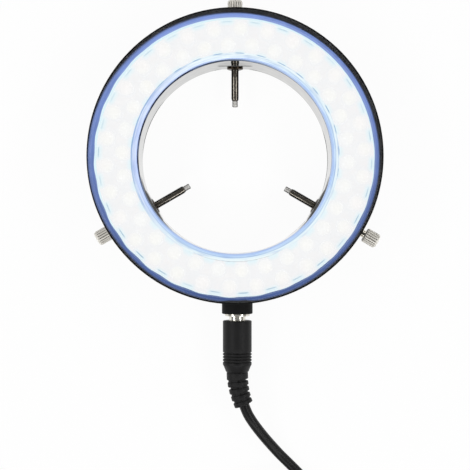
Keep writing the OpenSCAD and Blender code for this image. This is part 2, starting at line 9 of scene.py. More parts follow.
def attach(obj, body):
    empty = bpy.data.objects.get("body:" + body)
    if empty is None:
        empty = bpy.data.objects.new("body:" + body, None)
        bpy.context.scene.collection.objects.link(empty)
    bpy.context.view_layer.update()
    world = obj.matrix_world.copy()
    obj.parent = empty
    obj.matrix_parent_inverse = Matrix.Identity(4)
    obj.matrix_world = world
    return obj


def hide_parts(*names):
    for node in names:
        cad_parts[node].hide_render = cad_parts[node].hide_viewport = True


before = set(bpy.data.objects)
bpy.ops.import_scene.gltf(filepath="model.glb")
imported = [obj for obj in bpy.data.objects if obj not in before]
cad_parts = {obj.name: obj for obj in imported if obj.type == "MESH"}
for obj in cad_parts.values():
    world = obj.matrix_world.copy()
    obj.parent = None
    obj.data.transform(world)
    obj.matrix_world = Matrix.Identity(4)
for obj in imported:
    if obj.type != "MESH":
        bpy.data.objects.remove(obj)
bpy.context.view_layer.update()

MM = 0.001
TAU = 2 * pi

# Sizes repeated from the part's source, in mm
RING_R = 47.5
SCREW_Z = 5.5
SCREW_LEN = 36.0
SHAFT_R = 1.25
SLEEVE_R = 31.5
SLEEVE_OUT_R = 32.4
SLEEVE_TOP = 17.2
PAD_R = 30.9
PAD_LOW = 2.1
PAD_HIGH = 8.9
KNOB_R = 2.5
KNOB_LEN = 5.0
THREAD_PITCH = 0.45
NECK_FROM = 28.2
SCREWS = {"top": (90, 1.2), "left": (210, 1.1), "right": (330, 2.9)}  # angle, and gap under the knob
SOCKET_X = 0.75
SOCKET_Z = 7.0
PLUG_FACE = 54.0
PLUG_LEN = 17.3
PLUG_R = 4.8
BARREL_R = 2.75
RELIEF_R = 3.6
RELIEF_END_R = 3.2
RELIEF_CORE_R = 2.75
RELIEF_COLLAR = 2.4
RELIEF_RIBS = 4
RIB_LEN = 1.5
RIB_SLOT = 0.7
RELIEF_BEND_R = 28.0
RELIEF_BEND = (RELIEF_COLLAR + RELIEF_RIBS * (RIB_SLOT + RIB_LEN)) / RELIEF_BEND_R
CORD_D = 3.5
COIL_AT = Vector((12.5, -139.0, 0))
COIL_FROM = radians(45)
COIL_TURNS = 4.1875
COIL_R_IN = 13.0
COIL_PITCH = 3.95
COIL_Z = 2.75
LAYER_STEP = 4.0
CLIMB_TURNS = 0.5
END_PLUG_Z = 4.1
END_PLUG_X = -10.0


def polar(r, a, z=0):
    """The point at radius r, angle a and height z."""
    return Vector((r * cos(a), r * sin(a), z))


def ways(a):
    """The way outwards at an angle, and the way round at a right angle to it."""
    return Vector((cos(a), sin(a), 0)), Vector((-sin(a), cos(a), 0))


def set_along(x, y, z, at):
    """A matrix from a piece's own axes and its place in mm."""
    turn = Matrix((x, y, z)).transposed().to_4x4()
    turn.translation = at
    return turn


def new_object(name, data):
    """An object in the scene, made of its data."""
    obj = bpy.data.objects.new(name, data)
    bpy.context.scene.collection.objects.link(obj)
    return obj


# Camera, straight above the ring as in the photograph
CAMERA_AT = (-0.00001, -0.02534, 0.382)
CAMERA_LENS = 85.65
CAMERA_SENSOR = 36
CAMERA_CLIP = (0.01, 20)


def make_camera():
    data = bpy.data.cameras.new("photo_camera")
    data.sensor_width = CAMERA_SENSOR
    data.lens = CAMERA_LENS
    data.clip_start, data.clip_end = CAMERA_CLIP
    camera = new_object("photo_camera", data)
    camera.location = CAMERA_AT
    bpy.context.scene.camera = camera


make_camera()


# Cord: the route of the part's source, from inside the strain relief to the far plug
def smooth_step(u):
    return (1 - cos(pi * min(1, max(0, u)))) / 2


def coil_angle(t):
    return COIL_FROM - TAU * t


def coil_point(t):
    r = COIL_R_IN + COIL_PITCH * abs(t - COIL_TURNS)
    z = COIL_Z + LAYER_STEP * smooth_step((t - COIL_TURNS) / CLIMB_TURNS + 0.5)
    return COIL_AT + polar(r, coil_angle(t), z)


def coil_way(t):
    return -ways(coil_angle(t))[1]


def through(points, steps):
    """A smooth line through points, with its ends kept."""
    line = []
    for i in range(len(points) - 1):
        p0 = points[max(i - 1, 0)]
        p1, p2 = points[i], points[i + 1]
        p3 = points[min(i + 2, len(points) - 1)]
        for k in range(steps):
            t = k / steps
            line.append(0.5 * (2 * p1 + (p2 - p0) * t
                               + (2 * p0 - 5 * p1 + 4 * p2 - p3) * t ** 2
                               + (3 * p1 - p0 - 3 * p2 + p3) * t ** 3))
    return line + [points[-1]]


RELIEF_TIP = Vector((SOCKET_X + RELIEF_BEND_R * (1 - cos(RELIEF_BEND)),
                     -PLUG_FACE - PLUG_LEN - RELIEF_BEND_R * sin(RELIEF_BEND), SOCKET_Z))
RELIEF_WAY = Vector((sin(RELIEF_BEND), -cos(RELIEF_BEND), 0))
CORD_POINTS = [Vector(p) for p in (
    (5.8, -87.9, 6.7), (7.6, -90.5, 5.8), (9.7, -93.3, 4.6), (12.3, -96.5, 3.2),
    (15.1, -99.7, 2.2), (18.2, -102.8, 1.9), (21.3, -105.9, 1.9), (24.6, -109.3, 2.2))]
TAIL_POINTS = ((2.5, 6.4), (-0.5, 5.5), (-3.5, 4.5), (-6.5, END_PLUG_Z), (END_PLUG_X - 1, END_PLUG_Z))
STEPS_PER_TURN = 36
FREE_STEPS = 5
TAIL_STEPS = 4


def cord_route():
    coil_start = coil_point(0) - CORD_D * coil_way(0)
    coil_end = coil_point(2 * COIL_TURNS) + CORD_D * coil_way(2 * COIL_TURNS)
    free = [RELIEF_TIP - 2 * RELIEF_WAY, RELIEF_TIP, RELIEF_TIP + CORD_D * RELIEF_WAY,
            *CORD_POINTS, coil_start - CORD_D * coil_way(0), coil_start]
    count = round(2 * COIL_TURNS * STEPS_PER_TURN)
    turns = [coil_point(i / STEPS_PER_TURN) for i in range(count + 1)]
    y = coil_end.y
    tail = [coil_end, coil_end - Vector((CORD_D, 0, 0)), *[Vector((x, y, z)) for x, z in TAIL_POINTS]]
    return through(free, FREE_STEPS) + turns + through(tail, TAIL_STEPS), y


CORD_LINE, END_PLUG_Y = cord_route()


def make_cord():
    data = bpy.data.curves.new("lead_cord", "CURVE")
    data.dimensions = "3D"
    data.bevel_depth = CORD_D / 2 * MM
    data.bevel_resolution = 6
    data.use_fill_caps = True
    spline = data.splines.new("POLY")
    spline.points.add(len(CORD_LINE) - 1)
    for point, place in zip(spline.points, CORD_LINE):
        point.co = (*(place * MM), 1)
    spline.use_smooth = True
    return new_object("lead_cord", data)


lead_cord = make_cord()


# Shader nodes
def feed(tree, socket, value):
    """Links a socket to the input, or sets the input's own value."""
    if isinstance(value, bpy.types.NodeSocket):
        tree.links.new(value, socket)
    else:
        socket.default_value = value


def sum_up(tree, operation, *values):
    made = tree.nodes.new("ShaderNodeMath")
    made.operation = operation
    for socket, value in zip(made.inputs, values):
        feed(tree, socket, value)
    return made.outputs[0]


def chain(operation):
    """A maker of nodes that take any count of values together, two at a time."""
    def together(tree, first, *others):
        for value in others:
            first = sum_up(tree, operation, first, value)
        return first
    return together


times = chain("MULTIPLY")
plus = chain("ADD")
largest = chain("MAXIMUM")


def weighted(tree, start, *parts):
    """A number plus values times their weights."""
    return plus(tree, start, *[times(tree, value, weight) for value, weight in parts])


def spread(tree, value, low, high, to_low=0.0, to_high=1.0):
    """Maps a value from one range to another, and stops at its ends."""
    made = tree.nodes.new("ShaderNodeMapRange")
    for name, number in (("Value", value), ("From Min", low), ("From Max", high),
                         ("To Min", to_low), ("To Max", to_high)):
        feed(tree, made.inputs[name], number)
    return made.outputs[0]


def band_mask(tree, value, low, high, soft):
    """1 between low and high, with soft ends outside them."""
    rising = spread(tree, value, low - soft, low)
    return times(tree, rising, spread(tree, value, high + soft, high))


def ramp(tree, value, *stops):
    """A colour along a value, from stops of place and colour."""
    made = tree.nodes.new("ShaderNodeValToRGB")
    feed(tree, made.inputs[0], value)
    line = made.color_ramp.elements
    while len(line) < len(stops):
        line.new(1)
    for element, (place, colour) in zip(line, stops):
        element.position = place
        element.color = (*colour, 1)
    return made.outputs[0]


def blend_colours(tree, factor, first, second):
    made = tree.nodes.new("ShaderNodeMix")
    made.data_type = "RGBA"
    feed(tree, made.inputs[0], factor)
    for socket, colour in ((made.inputs[6], first), (made.inputs[7], second)):
        feed(tree, socket, (*colour, 1) if isinstance(colour, tuple) else colour)
    return made.outputs[2]


def noise(tree, vector, scale, detail=2.0, roughness=0.5):
    made = tree.nodes.new("ShaderNodeTexNoise")
    feed(tree, made.inputs["Vector"], vector)
    feed(tree, made.inputs["Scale"], scale)
    made.inputs["Detail"].default_value = detail
    made.inputs["Roughness"].default_value = roughness
    return made.outputs["Fac"]


def place(tree):
    """The point on the piece, in its own coordinates."""
    return tree.nodes.new("ShaderNodeTexCoord").outputs["Object"]


def split_up(tree, vector):
    """The x, y and z of a vector."""
    made = tree.nodes.new("ShaderNodeSeparateXYZ")
    tree.links.new(vector, made.inputs[0])
    return made.outputs


def upward(tree):
    """How far a face looks up: the z of its normal."""
    return split_up(tree, tree.nodes.new("ShaderNodeNewGeometry").outputs["Normal"])[2]


def new_group(name, inputs, outputs):
    """A shader node group with named sockets, its tree and its input node."""
    tree = bpy.data.node_groups.new(name, "ShaderNodeTree")
    for label, start in inputs:
        socket = tree.interface.new_socket(label, in_out="INPUT", socket_type="NodeSocketFloat")
        socket.default_value = start
    for label in outputs:
        tree.interface.new_socket(label, in_out="OUTPUT", socket_type="NodeSocketFloat")
    return tree, tree.nodes.new("NodeGroupInput"), tree.nodes.new("NodeGroupOutput")


def use_group(tree, group, **values):
    made = tree.nodes.new("ShaderNodeGroup")
    made.node_tree = group
    for name, value in values.items():
        feed(tree, made.inputs[name.replace("_", " ")], value)
    return made.outputs


def make_ring_place():
    """Radius and height in mm about a piece's own Z axis, the angle, and its cosine and sine."""
    tree, _, out = new_group("ring_place", (), ("Radius", "Height", "Angle", "Aside", "Ahead"))
    x, y, z = split_up(tree, place(tree))
    reach = sum_up(tree, "SQRT", plus(tree, times(tree, x, x), times(tree, y, y)))
    for label, value in (("Radius", times(tree, reach, 1 / MM)), ("Height", times(tree, z, 1 / MM)),
                         ("Angle", sum_up(tree, "ARCTAN2", y, x)),
                         ("Aside", sum_up(tree, "DIVIDE", x, reach)),
                         ("Ahead", sum_up(tree, "DIVIDE", y, reach))):
        tree.links.new(value, out.inputs[label])
    return tree


def make_moulded_grain():
    """Fine spark-eroded grain of moulded plastic, with broad uneven patches."""
    tree, into, out = new_group("moulded_grain", (("Grain", 4000.0), ("Patches", 90.0)),
                                ("Tone", "Rough", "Relief"))
    at = place(tree)
    fine = noise(tree, at, into.outputs["Grain"], 3.0, 0.6)
    broad = noise(tree, at, into.outputs["Patches"], 4.0, 0.55)
    tree.links.new(spread(tree, broad, 0.3, 0.7), out.inputs["Tone"])
    mixed = plus(tree, times(tree, fine, 0.45), times(tree, broad, 0.55))
    tree.links.new(spread(tree, mixed, 0.3, 0.7), out.inputs["Rough"])
    tree.links.new(fine, out.inputs["Relief"])
    return tree


def make_turning_lines():
    """Fine lines that a lathe leaves round a piece's own Z axis, and faint stains."""
    tree, into, out = new_group("turning_lines", (("Lines", 9000.0), ("Stains", 260.0)),
                                ("Tone", "Rough", "Relief"))
    at = place(tree)
    along = tree.nodes.new("ShaderNodeCombineXYZ")
    tree.links.new(split_up(tree, at)[2], along.inputs[2])
    lines = noise(tree, along.outputs[0], into.outputs["Lines"], 2.0, 0.7)
    stains = noise(tree, at, into.outputs["Stains"], 4.0, 0.6)
    tree.links.new(spread(tree, stains, 0.35, 0.75), out.inputs["Tone"])
    mixed = plus(tree, times(tree, lines, 0.6), times(tree, stains, 0.4))
    tree.links.new(spread(tree, mixed, 0.3, 0.7), out.inputs["Rough"])
    tree.links.new(lines, out.inputs["Relief"])
    return tree


def make_settled_dust():
    """Sparse pale specks on faces that look up."""
    tree, into, out = new_group("settled_dust", (("Specks", 2600.0), ("Amount", 0.3)), ("Mask",))
    at = place(tree)
    specks = spread(tree, noise(tree, at, into.outputs["Specks"], 2.0, 0.6), 0.68, 0.76)
    drift = spread(tree, noise(tree, at, 160.0, 3.0, 0.6), 0.42, 0.7)
    facing = spread(tree, upward(tree), 0.3, 0.9)
    mask = times(tree, specks, drift, facing, into.outputs["Amount"])
    tree.links.new(mask, out.inputs["Mask"])
    return tree


def make_upturned():
    """Which faces look up: the small steel pieces get painted shade on their flanks and under sides."""
    tree, _, out = new_group("upturned", (), ("Up",))
    tree.links.new(upward(tree), out.inputs["Up"])
    return tree


ring_place = make_ring_place()
moulded_grain = make_moulded_grain()
turning_lines = make_turning_lines()
settled_dust = make_settled_dust()
upturned = make_upturned()


# Finishes
def new_finish(name):
    """A material with an empty Principled shader, its tree and the shader."""
    finish = bpy.data.materials.new(name)
    finish.use_nodes = True
    tree = finish.node_tree
    tree.nodes.clear()
    shader = tree.nodes.new("ShaderNodeBsdfPrincipled")
    out = tree.nodes.new("ShaderNodeOutputMaterial")
    tree.links.new(shader.outputs[0], out.inputs["Surface"])
    return finish, tree, shader


def set_shader(tree, shader, **values):
    """Links or sets the shader's inputs by name."""
    for name, value in values.items():
        feed(tree, shader.inputs[name.replace("_", " ")], value)


def relief_on(tree, shader, height, depth, strength=1.0):
    bump = tree.nodes.new("ShaderNodeBump")
    bump.inputs["Strength"].default_value = strength
    bump.inputs["Distance"].default_value = depth
    tree.links.new(height, bump.inputs["Height"])
    tree.links.new(bump.outputs[0], shader.inputs["Normal"])


def paint_over(tree, shader, mask, colour):
    """Another colour over the finish's own, where a mask is 1."""
    own = shader.inputs["Base Color"].links[0].from_socket
    set_shader(tree, shader, Base_Color=blend_colours(tree, mask, own, colour))


DUST_GREY = (0.32, 0.31, 0.29)
GLOW_STRENGTH = 1.04


def light_up(tree, shader, colour, strength=GLOW_STRENGTH):
    """Painted lamp light: the colour that the lamps' light shows on a surface, given to it as glow."""
    set_shader(tree, shader, Emission_Color=colour, Emission_Strength=strength)


def plastic(name, dark, light, rough, specular=0.5, grain=4000.0, depth=0.00001, dust=0.25):
    """Moulded plastic or rubber: uneven tone, grain in its gloss and relief, and a little dust."""
    finish, tree, shader = new_finish(name)
    skin = use_group(tree, moulded_grain, Grain=grain)
    specks = use_group(tree, settled_dust, Amount=dust)
    colour = blend_colours(tree, skin["Tone"], dark, light)
    gloss = spread(tree, skin["Rough"], 0.0, 1.0, *rough)
    set_shader(tree, shader, Base_Color=blend_colours(tree, specks["Mask"], colour, DUST_GREY),
               Roughness=plus(tree, gloss, specks["Mask"]), Specular_IOR_Level=specular)
    relief_on(tree, shader, skin["Relief"], depth)
    return finish, tree, shader


def metal(name, dark, light, rough, lines=9000.0, depth=0.000004, metallic=1.0):
    """Turned or drawn metal: stains in its tone, lines in its gloss and relief."""
    finish, tree, shader = new_finish(name)
    skin = use_group(tree, turning_lines, Lines=lines)
    set_shader(tree, shader, Base_Color=blend_colours(tree, skin["Tone"], light, dark),
               Roughness=spread(tree, skin["Rough"], 0.0, 1.0, *rough), Metallic=metallic)
    relief_on(tree, shader, skin["Relief"], depth)
    return finish, tree, shader


# Painted light of the lamps: angles of the two rows, and radii and heights in mm where the ring's faces
# lie
LAMPS_PER_ROW = 30
LAMP_PHASE_OUT = radians(3.5)
LAMP_PHASE_IN = radians(9.5)
SCREWS_CLEAR = 8.5
LIP_TOP = 17.9
LIP_OUT_R = 34.1
LIP_EDGE_R = (34.3, 34.2)
INNER_WALL_R = (33.95, 34.05)
WALL_FROM_R = (45.6, 45.8)
WALL_R = 46.0
RIM_EDGE_R = 46.5
RIM_EDGE_LEFT_R = 46.88
RIM_EDGE_LOW_R = 46.64
BOSS_R = (47.7, 48.1)
BOARD_FADE_OUT_R = (43.4, 44.9)
BOARD_FADE_IN_R = (36.2, 34.6)
BOARD_DASH_R = (44.98, 45.16)
LIP_DASH_R = (33.75, 34.1)
DOME_Z = (15.4, 18.0)
WINDOW_EDGE_R = (32.6, 32.4)
WINDOW_Z = (18.0, 19.6)
GLOW_WHITE = (0.9, 0.9, 0.9)
GLOW_CYAN = (0.72, 0.89, 0.94)
GLOW_BLUE = (0.235, 0.34, 0.74)
GLOW_DIM_BLUE = (0.07, 0.118, 0.31)
GLOW_INNER = (0.5, 0.64, 0.82)
LIP_DEEP = (0.006, 0.01, 0.03)
BLACK = (0.0, 0.0, 0.0)
LOWER_SCREW = radians(30)


def lamp_wave(tree, angle, phase):
    """1 at each lamp of a row and 0 midway between two."""
    turned = times(tree, sum_up(tree, "SUBTRACT", angle, phase), float(LAMPS_PER_ROW))
    return spread(tree, sum_up(tree, "COSINE", turned), -1.0, 1.0)


def wall_glow(tree, spot):
    """Painted lamp light on the outer wall: nearly white at its foot, blue above and black at the rim."""
    # Top of the white foot, as a height: it bows at each lamp and sinks towards the bottom
    lower = spread(tree, spot["Ahead"], -0.1, -0.75)
    bow = weighted(tree, 1.5, (spot["Ahead"], -1.7), (spot["Aside"], -0.7), (lower, 1.0))
    wave = times(tree, lamp_wave(tree, spot["Angle"], LAMP_PHASE_OUT), largest(tree, bow, 0.0))
    level_line = weighted(tree, 14.2, (spot["Ahead"], 0.65), (spot["Aside"], -1.3), (lower, -4.3))
    limit = plus(tree, wave, level_line)
    past_wall = largest(tree, sum_up(tree, "SUBTRACT", spot["Radius"], WALL_R), 0.0)
    climb = weighted(tree, spot["Height"], (past_wall, 4.0))
    foot = spread(tree, sum_up(tree, "SUBTRACT", climb, limit), -0.2, 0.2, 1.0, 0.0)
    # Top of the blue: mottled, higher at the lower left, and cut short above the boss by painted shade
    off_boss = sum_up(tree, "ABSOLUTE", weighted(tree, -SOCKET_X, (spot["Radius"], spot["Aside"])))
    by_boss = times(tree, spread(tree, off_boss, 7.6, 2.6), spread(tree, spot["Ahead"], -0.5, -0.6))
    mottle = noise(tree, place(tree), 420.0)
    rise = weighted(tree, spot["Height"], (spot["Ahead"], 3.4), (spot["Aside"], 2.2),
                    (by_boss, 7.5), (mottle, 1.2))
    fade = sum_up(tree, "POWER", spread(tree, rise, 22.4, 25.4, 1.0, 0.0), 1.4)
    uneven = spread(tree, noise(tree, place(tree), 130.0), 0.35, 0.65, 0.86, 1.0)
    hue = blend_colours(tree, spread(tree, spot["Ahead"], -1.0, 1.0), GLOW_DIM_BLUE, GLOW_BLUE)
    dimming = spread(tree, spot["Height"], 19.0, 25.0, 1.0, 0.78)
    blue = blend_colours(tree, times(tree, uneven, dimming, fade), BLACK, hue)
    lit = blend_colours(tree, foot, blue, GLOW_CYAN)
    # The rim's edge: the light ends a little further out at the left and the bottom
    left_edge = spread(tree, spot["Aside"], -0.75, -1.0, RIM_EDGE_R, RIM_EDGE_LEFT_R)
    low_edge = spread(tree, spot["Ahead"], -0.75, -0.95, RIM_EDGE_R, RIM_EDGE_LOW_R)
    past_edge = sum_up(tree, "SUBTRACT", spot["Radius"], largest(tree, left_edge, low_edge))
    above_screws = spread(tree, spot["Height"], SCREWS_CLEAR, SCREWS_CLEAR + 0.3)
    on_wall = times(tree, spread(tree, spot["Radius"], *WALL_FROM_R), spread(tree, past_edge, 0.36, 0.0),
                    above_screws)
    return blend_colours(tree, on_wall, BLACK, lit)


def lip_glow(tree, spot):
    """Painted light in the band between the lamps and the bore: cyan, then blue, with a dark line on two
    sides.
    """
    # Colours from the bore outwards, at the top, the left and the bottom
    across = spread(tree, spot["Radius"], SLEEVE_R, LIP_OUT_R)
    top = ramp(tree, across, (0.0, LIP_DEEP), (0.13, (0.012, 0.02, 0.06)), (0.18, (0.34, 0.43, 0.74)),
               (0.36, (0.5, 0.6, 0.88)), (0.52, (0.86, 0.96, 1.0)), (0.85, (0.84, 0.94, 0.97)))
    left = ramp(tree, across, (0.0, LIP_DEEP), (0.14, (0.01, 0.016, 0.045)), (0.21, (0.44, 0.53, 0.84)),
                (0.4, (0.55, 0.64, 0.93)), (0.72, (0.56, 0.67, 0.93)), (0.84, (0.36, 0.5, 0.76)))
    low = ramp(tree, across, (0.0, (0.5, 0.6, 0.82)), (0.14, (0.38, 0.51, 0.78)),
               (0.3, (0.43, 0.57, 0.82)), (0.48, (0.4, 0.56, 0.8)), (0.6, (0.78, 0.91, 0.97)),
               (0.85, (0.86, 0.95, 0.96)))
    sideways = spread(tree, spot["Aside"], -0.4, -0.85)
    upper = blend_colours(tree, sideways, top, left)
    turned = weighted(tree, 0.5, (spot["Ahead"], 0.287), (spot["Aside"], -0.41))
    band = blend_colours(tree, spread(tree, turned, 0.5, 0.9), low, upper)
    # Dashes of painted shade between the inner lamps
    gap = spread(tree, lamp_wave(tree, spot["Angle"], LAMP_PHASE_IN), 0.5, 0.15)
    shown = times(tree, gap, band_mask(tree, spot["Radius"], *LIP_DASH_R, 0.12),
                  spread(tree, spot["Ahead"], -0.7, 0.2))
    lined = blend_colours(tree, shown, band, (0.3, 0.48, 0.68))
    # Streaks of painted shade and painted glints along the band
    turn = tree.nodes.new("ShaderNodeCombineXYZ")
    tree.links.new(spot["Radius"], turn.inputs[0])
    for socket, label in zip(turn.inputs[1:], ("Ahead", "Aside")):
        tree.links.new(times(tree, spot[label], 1.6), socket)
    streaks = noise(tree, turn.outputs[0], 2.6, 3.0, 0.6)
    shaded = blend_colours(tree, spread(tree, streaks, 0.5, 0.36, 0.0, 0.5), lined, (0.3, 0.42, 0.72))
    clear_of_line = spread(tree, spot["Radius"], 32.0, 32.2, 0.0, 0.7)
    fewer_below = spread(tree, spot["Ahead"], -0.7, 0.1, 0.3, 1.0)
    glints = times(tree, spread(tree, streaks, 0.52, 0.64), fewer_below, clear_of_line)
    return blend_colours(tree, glints, shaded, (0.86, 0.94, 0.98))


def housing_finish():
    """Satin black moulding, with the lamps' light along the trough painted on as glow."""
    finish, tree, shader = plastic("housing_black", (0.0022, 0.0022, 0.0026), (0.0045, 0.0045, 0.005),
                                   (0.52, 0.72), specular=0.12, grain=5200.0, depth=0.000012, dust=0.05)
    spot = use_group(tree, ring_place)
    on_lip = times(tree, spread(tree, spot["Height"], LIP_TOP, LIP_TOP + 0.05),
                   spread(tree, spot["Radius"], *LIP_EDGE_R))
    inner_wall = times(tree, band_mask(tree, spot["Radius"], *INNER_WALL_R, 0.03),
                       band_mask(tree, spot["Height"], SCREWS_CLEAR, LIP_TOP - 0.2, 0.1))
    wall = blend_colours(tree, inner_wall, wall_glow(tree, spot), GLOW_INNER)
    light_up(tree, shader, blend_colours(tree, on_lip, wall, lip_glow(tree, spot)))
    # Painted highlight: the boss is painted a little lighter than the rest of the black moulding.
    paint_over(tree, shader, spread(tree, spot["Radius"], *BOSS_R), (0.0085, 0.0085, 0.0088))
    return finish


def board_finish():
    """White solder resist with the lamps' light painted on as glow: cyan between them at its edges, with
    darker dashes of painted shade.
    """
    finish, tree, shader = new_finish("board_white")
    spot = use_group(tree, ring_place)
    skin = use_group(tree, moulded_grain, Grain=3000.0)
    out_gap = spread(tree, lamp_wave(tree, spot["Angle"], LAMP_PHASE_OUT), 0.75, 0.2)
    in_gap = spread(tree, lamp_wave(tree, spot["Angle"], LAMP_PHASE_IN), 0.8, 0.2)
    outer = times(tree, out_gap, spread(tree, spot["Radius"], *BOARD_FADE_OUT_R))
    inner = times(tree, in_gap, spread(tree, spot["Radius"], *BOARD_FADE_IN_R))
    patches = spread(tree, noise(tree, place(tree), 330.0, 3.0), 0.35, 0.65)
    plain = blend_colours(tree, patches, GLOW_WHITE, (0.92, 0.905, 0.895))
    tinted = blend_colours(tree, largest(tree, outer, inner), plain, (0.79, 0.91, 0.94))
    # Dashes of painted shade between the outer lamps
    narrow = spread(tree, lamp_wave(tree, spot["Angle"], LAMP_PHASE_OUT), 0.4, 0.1)
    drawn_in = weighted(tree, spot["Radius"], (spread(tree, spot["Ahead"], -0.1, -0.9), 0.5))
    patchy = spread(tree, noise(tree, place(tree), 90.0), 0.38, 0.6, 0.35, 1.0)
    more_below = spread(tree, spot["Ahead"], 0.5, -0.5, 0.5, 1.0)
    dash = times(tree, narrow, band_mask(tree, drawn_in, *BOARD_DASH_R, 0.18), patchy, more_below)
    light_up(tree, shader, blend_colours(tree, dash, tinted, (0.33, 0.5, 0.63)))
    unlit = blend_colours(tree, skin["Tone"], (0.05, 0.05, 0.052), (0.07, 0.07, 0.07))
    set_shader(tree, shader, Base_Color=unlit, Specular_IOR_Level=0.0,
               Roughness=spread(tree, skin["Rough"], 0.0, 1.0, 0.5, 0.75))
    relief_on(tree, shader, skin["Relief"], 0.000008)
    return finish


def lamp_finish(name, warm, cool):
    """Lit lens of a lamp: its dome a little warmer than the board round it."""
    finish, tree, shader = new_finish(name)
    spot = use_group(tree, ring_place)
    at = place(tree)
    streak = noise(tree, at, 900.0)
    tint = spread(tree, noise(tree, at, 150.0, 1.0), 0.35, 0.65)
    dome = spread(tree, plus(tree, spot["Height"], streak), *DOME_Z)
    light_up(tree, shader, blend_colours(tree, dome, GLOW_WHITE, blend_colours(tree, tint, warm, cool)))
    unlit = blend_colours(tree, streak, (0.05, 0.05, 0.05), (0.07, 0.07, 0.068))
    set_shader(tree, shader, Base_Color=unlit, Specular_IOR_Level=0.0,
               Roughness=spread(tree, streak, 0.3, 0.7, 0.3, 0.45))
    return finish


def window_finish():
    """Clear sheet with polish marks; its cut inner edge has a painted glow of the lamps' light."""
    finish, tree, shader = new_finish("window_clear")
    at = place(tree)
    marks = noise(tree, at, 240.0, 5.0, 0.65)
    spot = use_group(tree, ring_place)
    edge = spread(tree, spot["Radius"], *WINDOW_EDGE_R)
    glow = ramp(tree, spread(tree, spot["Height"], *WINDOW_Z), (0.0, (0.02, 0.03, 0.07)),
                (0.5, (0.05, 0.06, 0.1)), (1.0, (0.06, 0.08, 0.12)))
    light_up(tree, shader, blend_colours(tree, edge, BLACK, glow), 1.0)
    set_shader(tree, shader, Base_Color=(0.98, 0.99, 1.0, 1), IOR=1.49, Transmission_Weight=1.0,
               Roughness=spread(tree, marks, 0.35, 0.75, 0.01, 0.05))
    relief_on(tree, shader, noise(tree, at, 60.0, 2.0, 0.4), 0.00002, 0.4)
    return finish


def sleeve_finish():
    """Bright drawn sleeve: level lines, stains, a darker broken line by its back edge, and painted shade
    along the crease above its pads and over the lower bushes.
    """
    finish, tree, shader = new_finish("sleeve_bright")
    skin = use_group(tree, turning_lines, Lines=5000.0)
    spot = use_group(tree, ring_place)
    edge_breaks = spread(tree, noise(tree, place(tree), 55.0, 1.0, 0.4), 0.42, 0.56)
    # A darker broken line along the back edge.
    back_edge = times(tree, band_mask(tree, spot["Height"], 0.3, 1.5, 0.7), edge_breaks)
    # Painted shadow: a thin dark line where the pads run out into the bore.
    crease = times(tree, band_mask(tree, spot["Height"], PAD_HIGH + 0.4, PAD_HIGH + 0.9, 0.7),
                   spread(tree, spot["Radius"], SLEEVE_R - 0.02, SLEEVE_R - 0.16))
    aside = sum_up(tree, "ABSOLUTE", spot["Aside"])
    by_screw = weighted(tree, 0.0, (aside, cos(LOWER_SCREW)), (spot["Ahead"], -sin(LOWER_SCREW)))
    # Painted shade on the bore wall over the two lower bushes.
    over_bush = times(tree, spread(tree, by_screw, 0.94, 0.992),
                      band_mask(tree, spot["Height"], 11.6, SLEEVE_TOP, 1.6))
    # The darker line and the painted shade darken the sleeve and take away its metal gloss.
    dark_edge_and_painted_shade = times(tree, largest(tree, back_edge, crease, over_bush), 0.8)
    bright = blend_colours(tree, skin["Tone"], (0.44, 0.44, 0.43), (0.3, 0.3, 0.3))
    sheen = spread(tree, skin["Rough"], 0.0, 1.0, 0.03, 0.1)
    set_shader(tree, shader, Base_Color=blend_colours(tree, dark_edge_and_painted_shade, bright, (0.01, 0.01, 0.01)),
               Metallic=spread(tree, dark_edge_and_painted_shade, 0.0, 1.0, 1.0, 0.0), Specular_IOR_Level=0.2,
               Roughness=weighted(tree, sheen, (dark_edge_and_painted_shade, 0.8)))
    relief_on(tree, shader, skin["Relief"], 0.000002)
    return finish


def metal_with_painted_side_shade(name, dark, light, side_shade, rough, shade_range, metallic=1.0):
    """Turned metal with painted shade wherever it doesn't look up; the last argument is the range of
    upturn across which that shade fades.
    """
    finish, tree, shader = metal(name, dark, light, rough, metallic=metallic)
    paint_over(tree, shader, spread(tree, use_group(tree, upturned)["Up"], *shade_range, 1.0, 0.0), side_shade)
    return finish, tree, shader


def shaft_finish():
    """Dark steel with painted shade on its flanks and under side, and a plated neck beside the knob."""
    finish, tree, shader = metal_with_painted_side_shade("shaft_dark_steel", (0.15, 0.132, 0.11), (0.3, 0.275, 0.235),
                                       (0.006, 0.005, 0.004), (0.16, 0.24), (0.62, 0.86))
    along = use_group(tree, ring_place)["Height"]
    paint_over(tree, shader, spread(tree, along, NECK_FROM - 0.1, NECK_FROM), (0.66, 0.62, 0.54))
    return finish


def knob_finish():
    """Warm nickel plate, with painted shade in the grooves between the knurls."""
    finish, tree, shader = metal("knob_nickel", (0.9, 0.86, 0.77), (0.98, 0.95, 0.88), (0.28, 0.42),
                                 metallic=0.1)
    spot = use_group(tree, ring_place)
    # Painted shade: the grooves between the knurls are painted dark.
    groove = times(tree, spread(tree, spot["Radius"], KNOB_R - 0.16, KNOB_R - 0.235),
                   spread(tree, spot["Height"], KNOB_LEN - 0.6, KNOB_LEN - 0.9))
    paint_over(tree, shader, groove, (0.035, 0.03, 0.024))
    return finish


